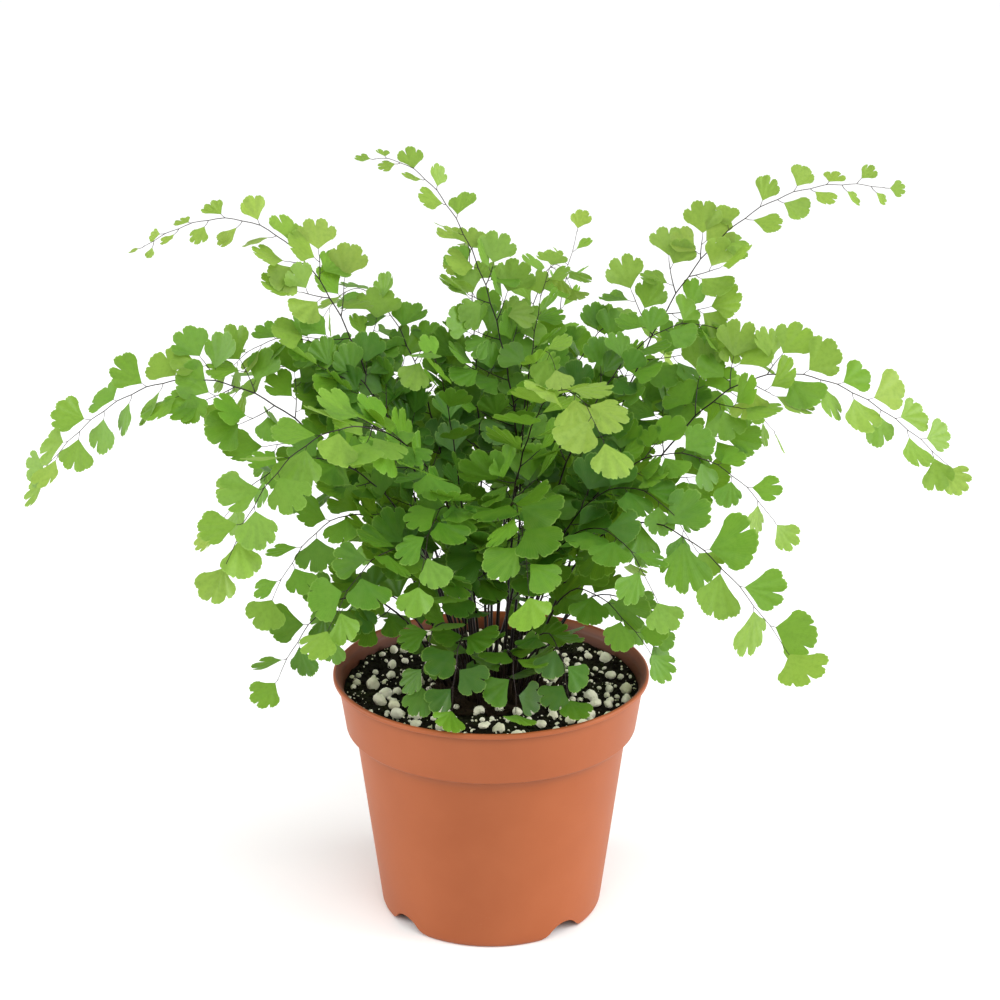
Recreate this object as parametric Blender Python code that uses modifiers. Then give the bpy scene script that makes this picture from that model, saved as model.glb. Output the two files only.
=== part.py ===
"""Maidenhair fern growing in a 12 cm plastic nursery pot.

The pot stands on the plane z = 0 with its axis on the Z axis.  The pot is filled with potting
mix, a low rhizome crown sits on the mix, and every frond is one solid: a wiry stalk that carries
a flat plate for each of its leaf segments.  Lengths below are millimetres and angles degrees;
scaled() turns a point into metres for Blender.
"""
import math

import bmesh
import bpy
from mathutils import Matrix, Vector
from mathutils.bvhtree import BVHTree

MM = 0.001
GAP = 0.3                    # air left between two pieces that touch

# Pot
POT_HEIGHT = 96.0
LIP_RADIUS = 60.0
LIP_THICKNESS = 2.2
BAND_TOP_RADIUS = 58.0
BAND_FOOT_RADIUS = 55.3
BAND_FOOT_Z = 74.7
SHOULDER_RADIUS = 51.5
SHOULDER_Z = 70.7
FOOT_RADIUS = 42.4
WALL = 1.3
FLOOR_Z = 4.6
FLOOR_THICKNESS = 1.4
FOOT_BOTTOM_RADIUS = 41.6
FOOT_WIDTH = 2.4
POT_STEPS = 36
NOTCH_COUNT = 4
NOTCH_FIRST_ANGLE = 220.5
NOTCH_HALF_WIDTH = 8.0
NOTCH_RISE = 6.0

# Potting mix and the rhizome crown on it
SOIL_EDGE_Z = 86.0
SOIL_EDGE_RADIUS = 54.9
SOIL_TOP_Z = 87.6
SOIL_STEPS = 28
CROWN_RADIUS = 25.0
CROWN_RISE = 4.5
CROWN_SINK = 1.6
CROWN_STEPS = 20

# Loose grains of perlite: distance from the axis, bearing, radius
GRAINS = (
    (44, 252, 2.9), (38, 266, 2.4), (47, 282, 3.0), (41, 297, 2.6),
    (48, 315, 2.5), (43, 336, 2.8), (47, 12, 2.6), (45, 232, 2.5),
)

# Frond stalks and leaf plates
STALK_BASE_WIDTH = 1.6
STALK_TIP_WIDTH = 0.8
STALK_SPACING = 2.8          # least distance between two stalks' middle lines
STALK_SEAT = 0.7             # height of a stalk's foot over the crown
LEAF_THICKNESS = 0.4
PETIOLE = 2.2
FOOT_SLANT = 1.3             # how far a stalk's foot is cut back on one side
CLEARANCE = 0.42             # air kept round every leaf plate
RIM_ZONE = (54.0, 98.5)      # no leaf plate reaches further out than this below this height
LOWEST_LEAF = 90.5

# Long fronds: base on the crown, rise, arch and tip of the stalk's curve, then the bare share of
# the stalk, the length of the longest leaf segment, the roll of the blade and the leaflet length
LONG_FRONDS = (
    ((-9, 8), (-44, 10, 189), (-54, 18, 301), (-127, 22, 255), 0.40, 34, -42, 12.0),
    ((-15, 2), (-39, 4, 177), (-101, 8, 259), (-170, 14, 168), 0.38, 30, -55, 13.0),
    ((-12, -9), (4, -30, 201), (-56, -70, 254), (-87, -104, 176), 0.40, 28, -28, 14.5),
    ((-17, -4), (-34, -14, 138), (-58, -28, 152), (-77, -40, 109), 0.42, 20, -40, 13.0),
    ((-2, 10), (29, 12, 150), (0, 18, 293), (-42, 28, 286), 0.45, 26, -35, 11.5),
    ((6, 14), (27, 25, 123), (10, 60, 159), (34, 98, 243), 0.45, 26, 0, 11.5),
    ((11, 12), (40, 16, 116), (44, 24, 294), (145, 35, 274), 0.38, 36, 50, 12.0),
    ((15, 2), (66, 0, 188), (85, -4, 259), (168, -6, 179), 0.36, 30, 55, 13.0),
    ((14, -7), (34, -15, 186), (66, -45, 184), (102, -75, 135), 0.40, 24, 42, 16.0),
    ((12, -12), (23, -14, 123), (24, -30, 165), (57, -45, 122), 0.45, 16, 38, 12.5),
)

# Arching fronds: bearing, reach, crest height, tip height, longest segment, roll, leaflet length
ARCHING_FRONDS = (
    (100, 62, 262, 240, 26, -10, 11.5),
    (66, 76, 252, 228, 26, 15, 11.5),
    (140, 84, 248, 220, 26, -30, 11.5),
    (41, 88, 238, 206, 24, 24, 11.5),
    (157, 112, 228, 186, 28, -40, 11.5),
    (20, 116, 222, 178, 28, 40, 11.5),
    (84, 104, 215, 172, 26, 10, 11.5),
    (118, 108, 205, 160, 26, -10, 11.5),
    (168, 100, 236, 208, 26, -45, 11.5),
    (8, 98, 244, 214, 26, 45, 11.5),
    (196, 102, 206, 164, 26, -42, 12.5),
    (-16, 106, 208, 166, 26, 42, 12.0),
    (228, 36, 226, 226, 20, -20, 11.5),
    (-58, 42, 232, 226, 20, 20, 11.5),
    (48, 37, 244, 244, 22, 0, 11.5),
    (252, 78, 196, 160, 22, -8, 13.0),
    (278, 93, 202, 163, 22, 0, 15.0),
    (294, 92, 236, 214, 24, 10, 14.5),
    (312, 86, 184, 150, 22, 20, 13.5),
    (214, 92, 188, 146, 24, -35, 12.5),
    (236, 98, 180, 146, 22, -15, 13.5),
    (330, 84, 196, 160, 22, 32, 12.5),
    (256, 56, 140, 104, 16, 0, 12.0),
    (280, 52, 132, 101, 16, 1, 12.0),
    (242, 52, 142, 110, 16, -12, 12.0),
    (300, 56, 138, 106, 16, 12, 12.0),
    (188, 60, 142, 114, 16, -30, 12.0),
    (344, 62, 144, 114, 16, 30, 12.0),
    (44, 76, 156, 120, 18, 0, 11.5),
    (92, 72, 152, 116, 18, 0, 11.5),
    (132, 76, 156, 120, 18, 0, 11.5),
)
ARCHING_BARE_SHARE = 0.36
BARE_STATIONS = 7            # cross-sections on the bare part of a stalk

# Moves tried in turn until a stalk's foot, or a leaf plate, is clear of its neighbours
FOOT_MOVES = [(0.0, 0.0)] + [
    (sign * turn, shift)
    for turn in (6.0, 12.0, 18.0, 24.0, 32.0, 40.0)
    for shift in (0.0, 2.6, -2.6)
    for sign in (1.0, -1.0)
]
ARCH_FOLLOWS = 0.3           # share of the foot's turn that the stalk's arch takes too
PLATE_SCALES = (1.0, 0.85, 0.7, 0.55)
PLATE_PITCHES = (0.0, 16.0, -16.0, 32.0, -32.0, 48.0, -48.0)
PLATE_TURNS = (0.0, 12.0, -12.0)


def scaled(point):
    """A point in millimetres as a vector in metres."""
    return Vector(point) * MM


# ------------------------------------------------------------------ scene and materials
def clear_scene():
    for item in list(bpy.data.objects):
        bpy.data.objects.remove(item, do_unlink=True)


def new_collection(name):
    collection = bpy.data.collections.new(name)
    bpy.context.scene.collection.children.link(collection)
    return collection


def new_material(name, colour, roughness, metallic=0.0):
    material = bpy.data.materials.new(name)
    material.use_nodes = True
    shader = material.node_tree.nodes["Principled BSDF"]
    shader.inputs["Base Color"].default_value = (*colour, 1.0)
    shader.inputs["Roughness"].default_value = roughness
    shader.inputs["Metallic"].default_value = metallic
    material.diffuse_color = (*colour, 1.0)
    return material


def add_object(name, mesh, collection, material):
    item = bpy.data.objects.new(name, mesh)
    collection.objects.link(item)
    mesh.materials.append(material)
    return item


def smooth(mesh, angle=35):
    mesh.shade_smooth()
    mesh.set_sharp_from_angle(angle=math.radians(angle))


# ------------------------------------------------------------------ turned pieces
def turned(name, profile, steps, collection, material):
    """Turn a list of (radius, height) points about Z; the list starts and ends on the axis."""
    mesh = bpy.data.meshes.new(name)
    mesh.from_pydata(
        [scaled((radius, 0.0, height)) for radius, height in profile],
        [(index, index + 1) for index in range(len(profile) - 1)],
        [],
    )
    item = add_object(name, mesh, collection, material)
    screw = item.modifiers.new("Turn", "SCREW")
    screw.axis = "Z"
    screw.angle = math.radians(360.0)
    screw.steps = steps
    screw.render_steps = steps
    screw.use_merge_vertices = True
    screw.merge_threshold = 0.00005
    screw.use_smooth_shade = True
    return item


def wall_radius(height):
    """Outer radius of the pot's straight body at a height below the shoulder."""
    share = height / SHOULDER_Z
    return FOOT_RADIUS + (SHOULDER_RADIUS - FOOT_RADIUS) * share


def pot_profile():
    """Section of the pot, up the inside, over the lip and down the outside to the foot."""
    floor_top = FLOOR_Z + FLOOR_THICKNESS
    lip_under = POT_HEIGHT - LIP_THICKNESS
    half_lip = LIP_THICKNESS / 2
    inside = [
        (0.0, floor_top),
        (wall_radius(floor_top) - WALL - 2.0, floor_top),
        (wall_radius(floor_top) - WALL, floor_top + 2.0),
        (wall_radius(SHOULDER_Z) - WALL, SHOULDER_Z + 1.0),
        (BAND_FOOT_RADIUS - WALL, BAND_FOOT_Z + 1.6),
        (BAND_TOP_RADIUS - WALL, lip_under),
        (BAND_TOP_RADIUS - WALL + 0.6, POT_HEIGHT - 0.4),
    ]
    lip = [
        (BAND_TOP_RADIUS - WALL + 1.6, POT_HEIGHT),
        (LIP_RADIUS - half_lip, POT_HEIGHT),
        (LIP_RADIUS - 0.3, POT_HEIGHT - 0.4),
        (LIP_RADIUS, POT_HEIGHT - half_lip),
        (LIP_RADIUS - 0.4, lip_under),
        (BAND_TOP_RADIUS, lip_under),
    ]
    outside = [
        (BAND_FOOT_RADIUS, BAND_FOOT_Z),
        (BAND_FOOT_RADIUS - 1.2, BAND_FOOT_Z - 2.2),
        (SHOULDER_RADIUS, SHOULDER_Z),
        (wall_radius(6.0), 6.0),
        (wall_radius(2.0), 2.0),
        (FOOT_BOTTOM_RADIUS, 0.0),
        (FOOT_BOTTOM_RADIUS - FOOT_WIDTH, 0.0),
        (FOOT_BOTTOM_RADIUS - FOOT_WIDTH, FLOOR_Z),
        (0.0, FLOOR_Z),
    ]
    return inside + lip + outside


def drainage_cutter(index, collection):
    """An arch that opens the foot ring and the edge of the floor."""
    angle = math.radians(NOTCH_FIRST_ANGLE + 360.0 / NOTCH_COUNT * index)
    inner = FOOT_BOTTOM_RADIUS - FOOT_WIDTH - 3.0
    outer = FOOT_RADIUS + 4.0
    middle = (inner + outer) / 2
    bpy.ops.mesh.primitive_cylinder_add(
        vertices=16,
        radius=NOTCH_HALF_WIDTH * MM,
        depth=(outer - inner) * MM,
        location=scaled((middle * math.cos(angle), middle * math.sin(angle), NOTCH_RISE - NOTCH_HALF_WIDTH)),
        rotation=(0.0, math.radians(90.0), angle),
    )
    cutter = bpy.context.object
    cutter.name = f"drainage_cutter_{index + 1}"
    for owner in list(cutter.users_collection):
        owner.objects.unlink(cutter)
    collection.objects.link(cutter)
    cutter.hide_render = True
    cutter.display_type = "WIRE"
    return cutter


def build_pot(parts, cutters, material):
    pot = turned("pot", pot_profile(), POT_STEPS, parts, material)
    for index in range(NOTCH_COUNT):
        cut = pot.modifiers.new(f"Drainage {index + 1}", "BOOLEAN")
        cut.operation = "DIFFERENCE"
        cut.solver = "EXACT"
        cut.object = drainage_cutter(index, cutters)
    return pot


def build_potting_mix(parts, material):
    """The mix fills the pot from the floor to just under the rim, with a hollow for the crown."""
    floor = FLOOR_Z + FLOOR_THICKNESS + GAP
    wall = WALL + GAP
    profile = [
        (0.0, SOIL_TOP_Z - CROWN_SINK),
        (CROWN_RADIUS - 3.0, SOIL_TOP_Z - CROWN_SINK),
        (CROWN_RADIUS + GAP, SOIL_TOP_Z - 0.1),
        (CROWN_RADIUS + 12.0, SOIL_TOP_Z),
        (SOIL_EDGE_RADIUS, SOIL_EDGE_Z),
        (BAND_FOOT_RADIUS - wall - 0.1, BAND_FOOT_Z + 2.0),
        (SHOULDER_RADIUS - wall - 0.1, SHOULDER_Z + 1.0),
        (wall_radius(floor) - wall - 0.1, floor + 2.0),
        (wall_radius(floor) - wall - 2.0, floor),
        (0.0, floor),
    ]
    return turned("potting_mix", profile, SOIL_STEPS, parts, material)


def crown_top(radius):
    """Height of the crown's domed top at a distance from its middle."""
    return SOIL_TOP_Z + CROWN_RISE * (1.0 - (radius / CROWN_RADIUS) ** 2)


def build_crown(parts, material):
    under = SOIL_TOP_Z - CROWN_SINK + GAP
    profile = [(radius, crown_top(radius)) for radius in (0.0, 8.0, 14.0, 19.0, 23.0)]
    profile += [(CROWN_RADIUS - 0.4, SOIL_TOP_Z), (CROWN_RADIUS - 3.0, under), (0.0, under)]
    return turned("rhizome_crown", profile, CROWN_STEPS, parts, material)


def soil_top(radius):
    """Height of the mix between the crown and the pot's wall."""
    inner = CROWN_RADIUS + 12.0
    share = max(0.0, (radius - inner) / (SOIL_EDGE_RADIUS - inner))
    return SOIL_TOP_Z + (SOIL_EDGE_Z - SOIL_TOP_Z) * share


def build_grains(parts, material):
    for index, (distance, bearing, radius) in enumerate(GRAINS):
        angle = math.radians(bearing)
        mesh = bpy.data.meshes.new("grain")
        graph = bmesh.new()
        bmesh.ops.create_icosphere(graph, subdivisions=1, radius=radius * MM)
        shape = Matrix.Rotation(angle * 3.0, 3, "Z") @ Matrix.Diagonal((1.0, 0.82, 0.74))
        for vertex in graph.verts:
            vertex.co = shape @ vertex.co
        lowest = min(vertex.co.z for vertex in graph.verts)
        graph.to_mesh(mesh)
        graph.free()
        smooth(mesh)
        grain = add_object(f"perlite_grain_{index + 1}", mesh, parts, material)
        seat = soil_top(distance - radius) + GAP
        grain.location = scaled((distance * math.cos(angle), distance * math.sin(angle), seat))
        grain.location.z -= lowest


# ------------------------------------------------------------------ fronds
def bezier(points, share):
    start, rise, arch, tip = points
    rest = 1.0 - share
    return (
        start * rest ** 3
        + rise * (3.0 * rest * rest * share)
        + arch * (3.0 * rest * share * share)
        + tip * share ** 3
    )


def wobble(seed):
    """A repeatable number between -1 and 1 for the seed."""
    value = math.sin(seed * 12.9898) * 43758.5453
    return 2.0 * (value - math.floor(value)) - 1.0


class Stalk:
    """A frond's curved stalk, with a frame (along, side, face) at any length from its foot."""

    def __init__(self, route, roll):
        self.points = [bezier(route, index / 80) for index in range(81)]
        self.lengths = [0.0]
        for first, second in zip(self.points, self.points[1:]):
            self.lengths.append(self.lengths[-1] + (second - first).length)
        self.total = self.lengths[-1]
        self.roll = math.radians(roll)
        out = route[3] - route[0]
        self.bearing = math.atan2(out.y, out.x)

    def at(self, length):
        length = min(max(length, 0.0), self.total)
        index = 0
        while index < 79 and self.lengths[index + 1] < length:
            index += 1
        step = self.lengths[index + 1] - self.lengths[index]
        share = (length - self.lengths[index]) / step
        return self.points[index].lerp(self.points[index + 1], share)

    def frame(self, length):
        along = (self.at(length + 2.0) - self.at(length - 2.0)).normalized()
        side = Vector((-math.sin(self.bearing), math.cos(self.bearing), 0.0))
        side = (side - along * side.dot(along)).normalized()
        side = Matrix.Rotation(self.roll, 3, along) @ side
        return along, side, along.cross(side)

    def width(self, length):
        share = length / self.total
        return STALK_BASE_WIDTH + (STALK_TIP_WIDTH - STALK_BASE_WIDTH) * share


def arching_route(bearing, reach, crest, tip_height):
    """Curve of a frond that rises from the crown and bows outward in one vertical plane."""
    angle = math.radians(bearing)
    out = Vector((math.cos(angle), math.sin(angle), 0.0))
    rise = crest - SOIL_TOP_Z
    base_radius = 4.0 + 17.0 * min(1.0, 45.0 / rise)
    base = out * base_radius
    return (
        (base.x, base.y),
        out * (base_radius + 0.1 * reach) + Vector((0.0, 0.0, SOIL_TOP_Z + 0.62 * rise)),
        out * (base_radius + 0.5 * reach) + Vector((0.0, 0.0, SOIL_TOP_Z + 1.12 * rise)),
        out * reach + Vector((0.0, 0.0, tip_height)),
    )


def clear_stalk(base, rise, arch, tip, roll, stalks):
    """The stalk with its foot moved about the crown until it is clear of the stalks before it."""
    for turn, shift in FOOT_MOVES:
        spin = Matrix.Rotation(math.radians(turn), 3, "Z")
        bend = Matrix.Rotation(math.radians(ARCH_FOLLOWS * turn), 3, "Z")
        foot = spin @ Vector((base[0], base[1], 0.0))
        foot *= (foot.length + shift) / foot.length
        foot.z = crown_top(foot.length) + STALK_SEAT
        stalk = Stalk((foot, spin @ Vector(rise), bend @ Vector(arch), Vector(tip)), roll)
        nearest = STALK_SPACING
        for other in stalks:
            for point in stalk.points[::2]:
                nearest = min(nearest, min((point - spot).length for spot in other.points[::2]))
        if nearest >= STALK_SPACING:
            return stalk
    raise RuntimeError("no clear foot for the stalk that ends at " + str(tip))


def segment_plan(stalk, bare_share, longest, leaflet):
    """The leaf segments along the stalk: (length from the foot, side sign, segment length)."""
    plan = []
    first = stalk.total * bare_share
    blade = stalk.total - first
    position = first
    sign = 1.0
    while position < stalk.total - 0.7 * leaflet:
        share = (position - first) / blade
        reach = leaflet + (longest - leaflet) * max(0.0, 1.0 - share / 0.62) ** 0.8
        if share > 0.7:
            reach = leaflet * (1.0 - 0.9 * (share - 0.7))
        plan.append((position, sign, reach))
        sign = -sign
        position += max(0.88 * leaflet * (1.0 - 0.2 * share), 0.42 * reach)
    plan.append((stalk.total - 1.5, 0.0, 0.8 * leaflet))
    return plan


def leaf_outline(reach, leaflet):
    """Outline of a leaf plate as (along, across) points, from its left foot round to its right."""
    if reach > 1.3 * leaflet:
        half = 0.5 * leaflet + 0.1 * reach
        return [(0.5 * reach, half), (reach, 0.0), (0.5 * reach, -half)]
    half = 0.5 * reach
    return [(0.72 * reach, half), (reach, 0.0), (0.72 * reach, -half)]


class Slab:
    """A flat piece of a frond, thickened by the clearance, kept for the overlap test."""

    def __init__(self, corners, normal, thicknesses):
        lifts = [normal * (thickness / 2 + CLEARANCE) for thickness in thicknesses]
        vertices = [point + lift for point, lift in zip(corners, lifts)]
        vertices += [point - lift for point, lift in zip(corners, lifts)]
        count = len(corners)
        faces = [tuple(range(count)), tuple(range(2 * count - 1, count - 1, -1))]
        for index in range(count):
            following = (index + 1) % count
            faces.append((index, following, following + count, index + count))
        self.low = Vector([min(vertex[axis] for vertex in vertices) for axis in range(3)])
        self.high = Vector([max(vertex[axis] for vertex in vertices) for axis in range(3)])
        self.tree = BVHTree.FromPolygons(vertices, faces)

    def meets(self, other):
        for axis in range(3):
            if self.low[axis] > other.high[axis] or other.low[axis] > self.high[axis]:
                return False
        return bool(self.tree.overlap(other.tree))


def stalk_slabs(stalk):
    """The stalk as a row of straight bars."""
    slabs = []
    pieces = 20
    for index in range(pieces):
        first = stalk.total * index / pieces
        second = stalk.total * (index + 1) / pieces
        along, side, face = stalk.frame((first + second) / 2)
        width = stalk.width(first)
        half = side * (width / 2 + CLEARANCE)
        start = stalk.at(first)
        end = stalk.at(second)
        slabs.append(Slab([start + half, end + half, end - half, start - half], face, [width] * 4))
    return slabs


def plate_pose(stalk, length, sign, outline, turn, pitch, scale):
    """Foot, start and outline of a plate in space, and its normal, for one turn and pitch."""
    along, side, face = stalk.frame(length)
    if sign == 0.0:
        outward = along
        foot = stalk.at(length)
    else:
        outward = side * sign * math.cos(turn) + along * math.sin(turn)
        foot = stalk.at(length) + side * sign * stalk.width(length) / 2
    outward = Matrix.Rotation(pitch, 3, outward.cross(face)) @ outward
    outward.normalize()
    across = face.cross(outward).normalized() * (-sign or -1.0)
    start = foot + outward * PETIOLE
    corners = [start + (outward * far + across * wide) * scale for far, wide in outline]
    return foot, start, corners, outward.cross(across).normalized()


def clears_pot(corners):
    for point in corners:
        if point.z < LOWEST_LEAF:
            return False
        if point.z < RIM_ZONE[1] and math.hypot(point.x, point.y) > RIM_ZONE[0]:
            return False
    return True


def place_plate(stalk, length, sign, reach, leaflet, seed, own, others):
    """Find a pose for one leaf plate that is clear of the pot, its own frond and the others.

    Returns the plate's outline, the blade's slab without its petiole, which its own frond keeps
    clear of, and the slab of blade and petiole, which the other fronds keep clear of.
    """
    outline = leaf_outline(reach, leaflet)
    blade_depths = [LEAF_THICKNESS] * len(outline)
    foot_width = stalk.width(length)
    share = length / stalk.total
    base_turn = math.radians(24.0 + 22.0 * share + 6.0 * wobble(seed))
    base_pitch = math.radians(-6.0 + 10.0 * wobble(seed + 0.37))
    for scale in PLATE_SCALES:
        for pitch in PLATE_PITCHES:
            for turn in PLATE_TURNS:
                foot, start, corners, normal = plate_pose(
                    stalk, length, sign, outline,
                    base_turn + math.radians(turn), base_pitch + math.radians(pitch), scale,
                )
                if not clears_pot(corners):
                    continue
                blade = Slab([start] + corners, normal, [foot_width] + blade_depths)
                if any(blade.meets(other) for other in own):
                    continue
                whole = Slab([foot] + corners, normal, [foot_width] + blade_depths)
                if not any(whole.meets(other) for other in others):
                    return corners, blade, whole
    return None, None, None


def frond_sheet(stalk, plates, graph, weight):
    """Lay the stalk as a ribbon, with each plate joined to its edge by a narrow petiole."""
    layer = graph.verts.layers.deform.verify()

    def vertex(point, share):
        new = graph.verts.new(point * MM)
        new[layer][weight] = share
        return new

    stations = [plates[0][0] * step / BARE_STATIONS for step in range(BARE_STATIONS)]
    for length, sign, corners in plates:
        if sign:
            stations += [length - 0.6, length + 0.6]
    stations.append(stalk.total - 1.5)
    left = []
    right = []
    for length in stations:
        along, side, face = stalk.frame(length)
        half = side * stalk.width(length) / 2
        share = stalk.width(length) / STALK_BASE_WIDTH
        left.append(vertex(stalk.at(length) + half, share))
        slant = along * FOOT_SLANT if length == 0.0 else Vector()
        right.append(vertex(stalk.at(length) - half + slant, share))
    leaf_share = LEAF_THICKNESS / STALK_BASE_WIDTH
    for number, (length, sign, corners) in enumerate(plates):
        index = BARE_STATIONS + 2 * number
        ring = [vertex(point, leaf_share) for point in corners]
        if sign > 0.0:
            graph.faces.new([left[index], left[index + 1]] + ring)
        elif sign < 0.0:
            graph.faces.new([right[index + 1], right[index]] + ring[::-1])
        else:
            graph.faces.new([right[-1]] + ring[::-1] + [left[-1]])
    for index in range(len(stations) - 1):
        graph.faces.new((right[index], right[index + 1], left[index + 1], left[index]))


def build_frond(number, stalks, slabs, bare_share, longest, leaflet, parts, material):
    """One frond, placed clear of the slabs of the others; its own slabs are added to the list."""
    stalk = stalks[number]
    own = list(slabs[number])
    others = [slab for index, group in enumerate(slabs) if index != number for slab in group]
    plates = []
    for step, (length, sign, reach) in enumerate(segment_plan(stalk, bare_share, longest, leaflet)):
        corners, blade, whole = place_plate(
            stalk, length, sign, reach, leaflet, 10.0 * number + 1.7 * step, own, others
        )
        if corners:
            plates.append((length, sign, corners))
            own.append(blade)
            slabs[number].append(whole)
    if len(plates) < 3:
        raise RuntimeError(f"frond {number + 1} has room for only {len(plates)} leaf plates")
    name = f"frond_{number + 1:02d}"
    mesh = bpy.data.meshes.new(name)
    frond = add_object(name, mesh, parts, material)
    group = frond.vertex_groups.new(name="thickness")
    graph = bmesh.new()
    frond_sheet(stalk, plates, graph, group.index)
    bmesh.ops.recalc_face_normals(graph, faces=graph.faces)
    graph.to_mesh(mesh)
    graph.free()
    thicken = frond.modifiers.new("Thickness", "SOLIDIFY")
    thicken.thickness = STALK_BASE_WIDTH * MM
    thicken.offset = 0.0
    thicken.vertex_group = group.name
    thicken.thickness_vertex_group = 0.0


def build_fronds(parts, material):
    rows = list(LONG_FRONDS)
    for bearing, reach, crest, tip_height, longest, roll, leaflet in ARCHING_FRONDS:
        route = arching_route(bearing, reach, crest, tip_height)
        rows.append((*route, ARCHING_BARE_SHARE, longest, roll, leaflet))
    stalks = []
    for base, rise, arch, tip, bare_share, longest, roll, leaflet in rows:
        stalks.append(clear_stalk(base, rise, arch, tip, roll, stalks))
    slabs = [stalk_slabs(stalk) for stalk in stalks]
    for number, row in enumerate(rows):
        bare_share, longest, roll, leaflet = row[4:]
        build_frond(number, stalks, slabs, bare_share, longest, leaflet, parts, material)


def main():
    clear_scene()
    parts = new_collection("potted_maidenhair_fern")
    cutters = new_collection("cutters")
    build_pot(parts, cutters, new_material("terracotta_plastic", (0.49, 0.15, 0.065), 0.5))
    build_potting_mix(parts, new_material("peat_mix", (0.02, 0.016, 0.01), 0.95))
    build_crown(parts, new_material("rhizome_fibre", (0.05, 0.03, 0.015), 0.9))
    build_grains(parts, new_material("perlite", (0.72, 0.7, 0.6), 0.85))
    build_fronds(parts, new_material("fern_green", (0.1, 0.26, 0.03), 0.5))


main()
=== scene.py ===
"""Looks of the potted maidenhair fern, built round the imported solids.

Lengths are millimetres until a mesh is made, which is scaled to metres with MM.
"""
from math import atan2, cos, exp, hypot, pi, radians, sin, sqrt
import random

import bmesh
import bpy
import numpy as np
from mathutils import Matrix, Vector
from mathutils import noise


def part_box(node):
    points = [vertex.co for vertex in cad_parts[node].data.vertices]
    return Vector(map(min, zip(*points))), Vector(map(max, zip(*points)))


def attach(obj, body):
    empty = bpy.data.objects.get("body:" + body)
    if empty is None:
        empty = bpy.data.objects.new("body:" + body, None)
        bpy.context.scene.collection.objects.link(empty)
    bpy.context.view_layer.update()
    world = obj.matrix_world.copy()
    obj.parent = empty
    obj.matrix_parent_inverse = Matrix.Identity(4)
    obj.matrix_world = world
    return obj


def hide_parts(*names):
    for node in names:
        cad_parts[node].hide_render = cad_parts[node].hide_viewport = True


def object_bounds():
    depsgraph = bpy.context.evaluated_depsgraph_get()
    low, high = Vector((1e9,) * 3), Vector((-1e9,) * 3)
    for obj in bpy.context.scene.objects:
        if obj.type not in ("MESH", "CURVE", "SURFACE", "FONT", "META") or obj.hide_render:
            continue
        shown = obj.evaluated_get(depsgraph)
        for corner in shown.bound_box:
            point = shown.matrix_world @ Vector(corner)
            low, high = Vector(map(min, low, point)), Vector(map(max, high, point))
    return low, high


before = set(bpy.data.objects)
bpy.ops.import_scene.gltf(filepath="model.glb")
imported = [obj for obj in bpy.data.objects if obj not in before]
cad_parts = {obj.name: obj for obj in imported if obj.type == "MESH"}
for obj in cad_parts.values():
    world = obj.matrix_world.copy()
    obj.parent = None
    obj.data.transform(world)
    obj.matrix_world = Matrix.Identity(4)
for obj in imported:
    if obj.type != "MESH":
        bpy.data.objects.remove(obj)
CAD_LOW, CAD_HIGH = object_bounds()

MM = 0.001
BODY = "root"

# Pot and potting mix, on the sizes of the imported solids
POT_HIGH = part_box("pot")[1]
POT_HEIGHT = POT_HIGH.z / MM
LIP_RADIUS = POT_HIGH.x / MM
LIP_THICKNESS = 2.2
BAND_TOP_RADIUS = LIP_RADIUS - 2.0
BAND_FOOT_RADIUS = LIP_RADIUS - 4.7
BAND_FOOT_Z = POT_HEIGHT - 21.3
SHOULDER_RADIUS = LIP_RADIUS - 8.5
SHOULDER_Z = POT_HEIGHT - 25.3
FOOT_RADIUS = 42.4
FOOT_BOTTOM_RADIUS = 41.6
FOOT_WIDTH = 2.4
WALL = 1.3
FLOOR_Z = 4.6
FLOOR_THICKNESS = 1.4
WALL_HEIGHTS = (0.0, SHOULDER_Z, BAND_FOOT_Z, POT_HEIGHT - LIP_THICKNESS)
WALL_RADII = (FOOT_RADIUS, SHOULDER_RADIUS, BAND_FOOT_RADIUS, BAND_TOP_RADIUS)
NOTCH_COUNT = 4
NOTCH_FIRST_ANGLE = 220.5
NOTCH_HALF_WIDTH = 8.0
NOTCH_RISE = 6.0
NOTCH_FLARE = 3.2  # how much wider the arch's mouth is than its round top
NOTCH_FLARE_RISE = 3.0
ARCH_STEPS = 20
CUTTER_INSIDE = 3.0  # how far an arch's cutter runs on inside, outside and under the foot
CUTTER_OUTSIDE = 4.0
CUTTER_UNDER = 3.0
POT_STEPS = 192
INSIDE_ROUNDING = 0.7
OUTSIDE_ROUNDING = 0.8
ARC_STEPS = 3  # pieces in a rounded corner of a turned section
SHARP_ANGLE = 40.0  # edges that turn by more stay sharp
RIM_FADE = 0.75  # share of the soil stain and painted shade inside the pot that is gone at the rim
CREASE_SHADE_START = 0.7  # painted shade starts this far under an edge
POT_CREASE_SHADES = (  # edge, how far down the painted shade in its crease reaches, how dark it is
    (BAND_FOOT_Z - 0.1, 7.5, 0.3),
    (POT_HEIGHT - LIP_THICKNESS + 0.3, 4.2, 0.3),
)

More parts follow.
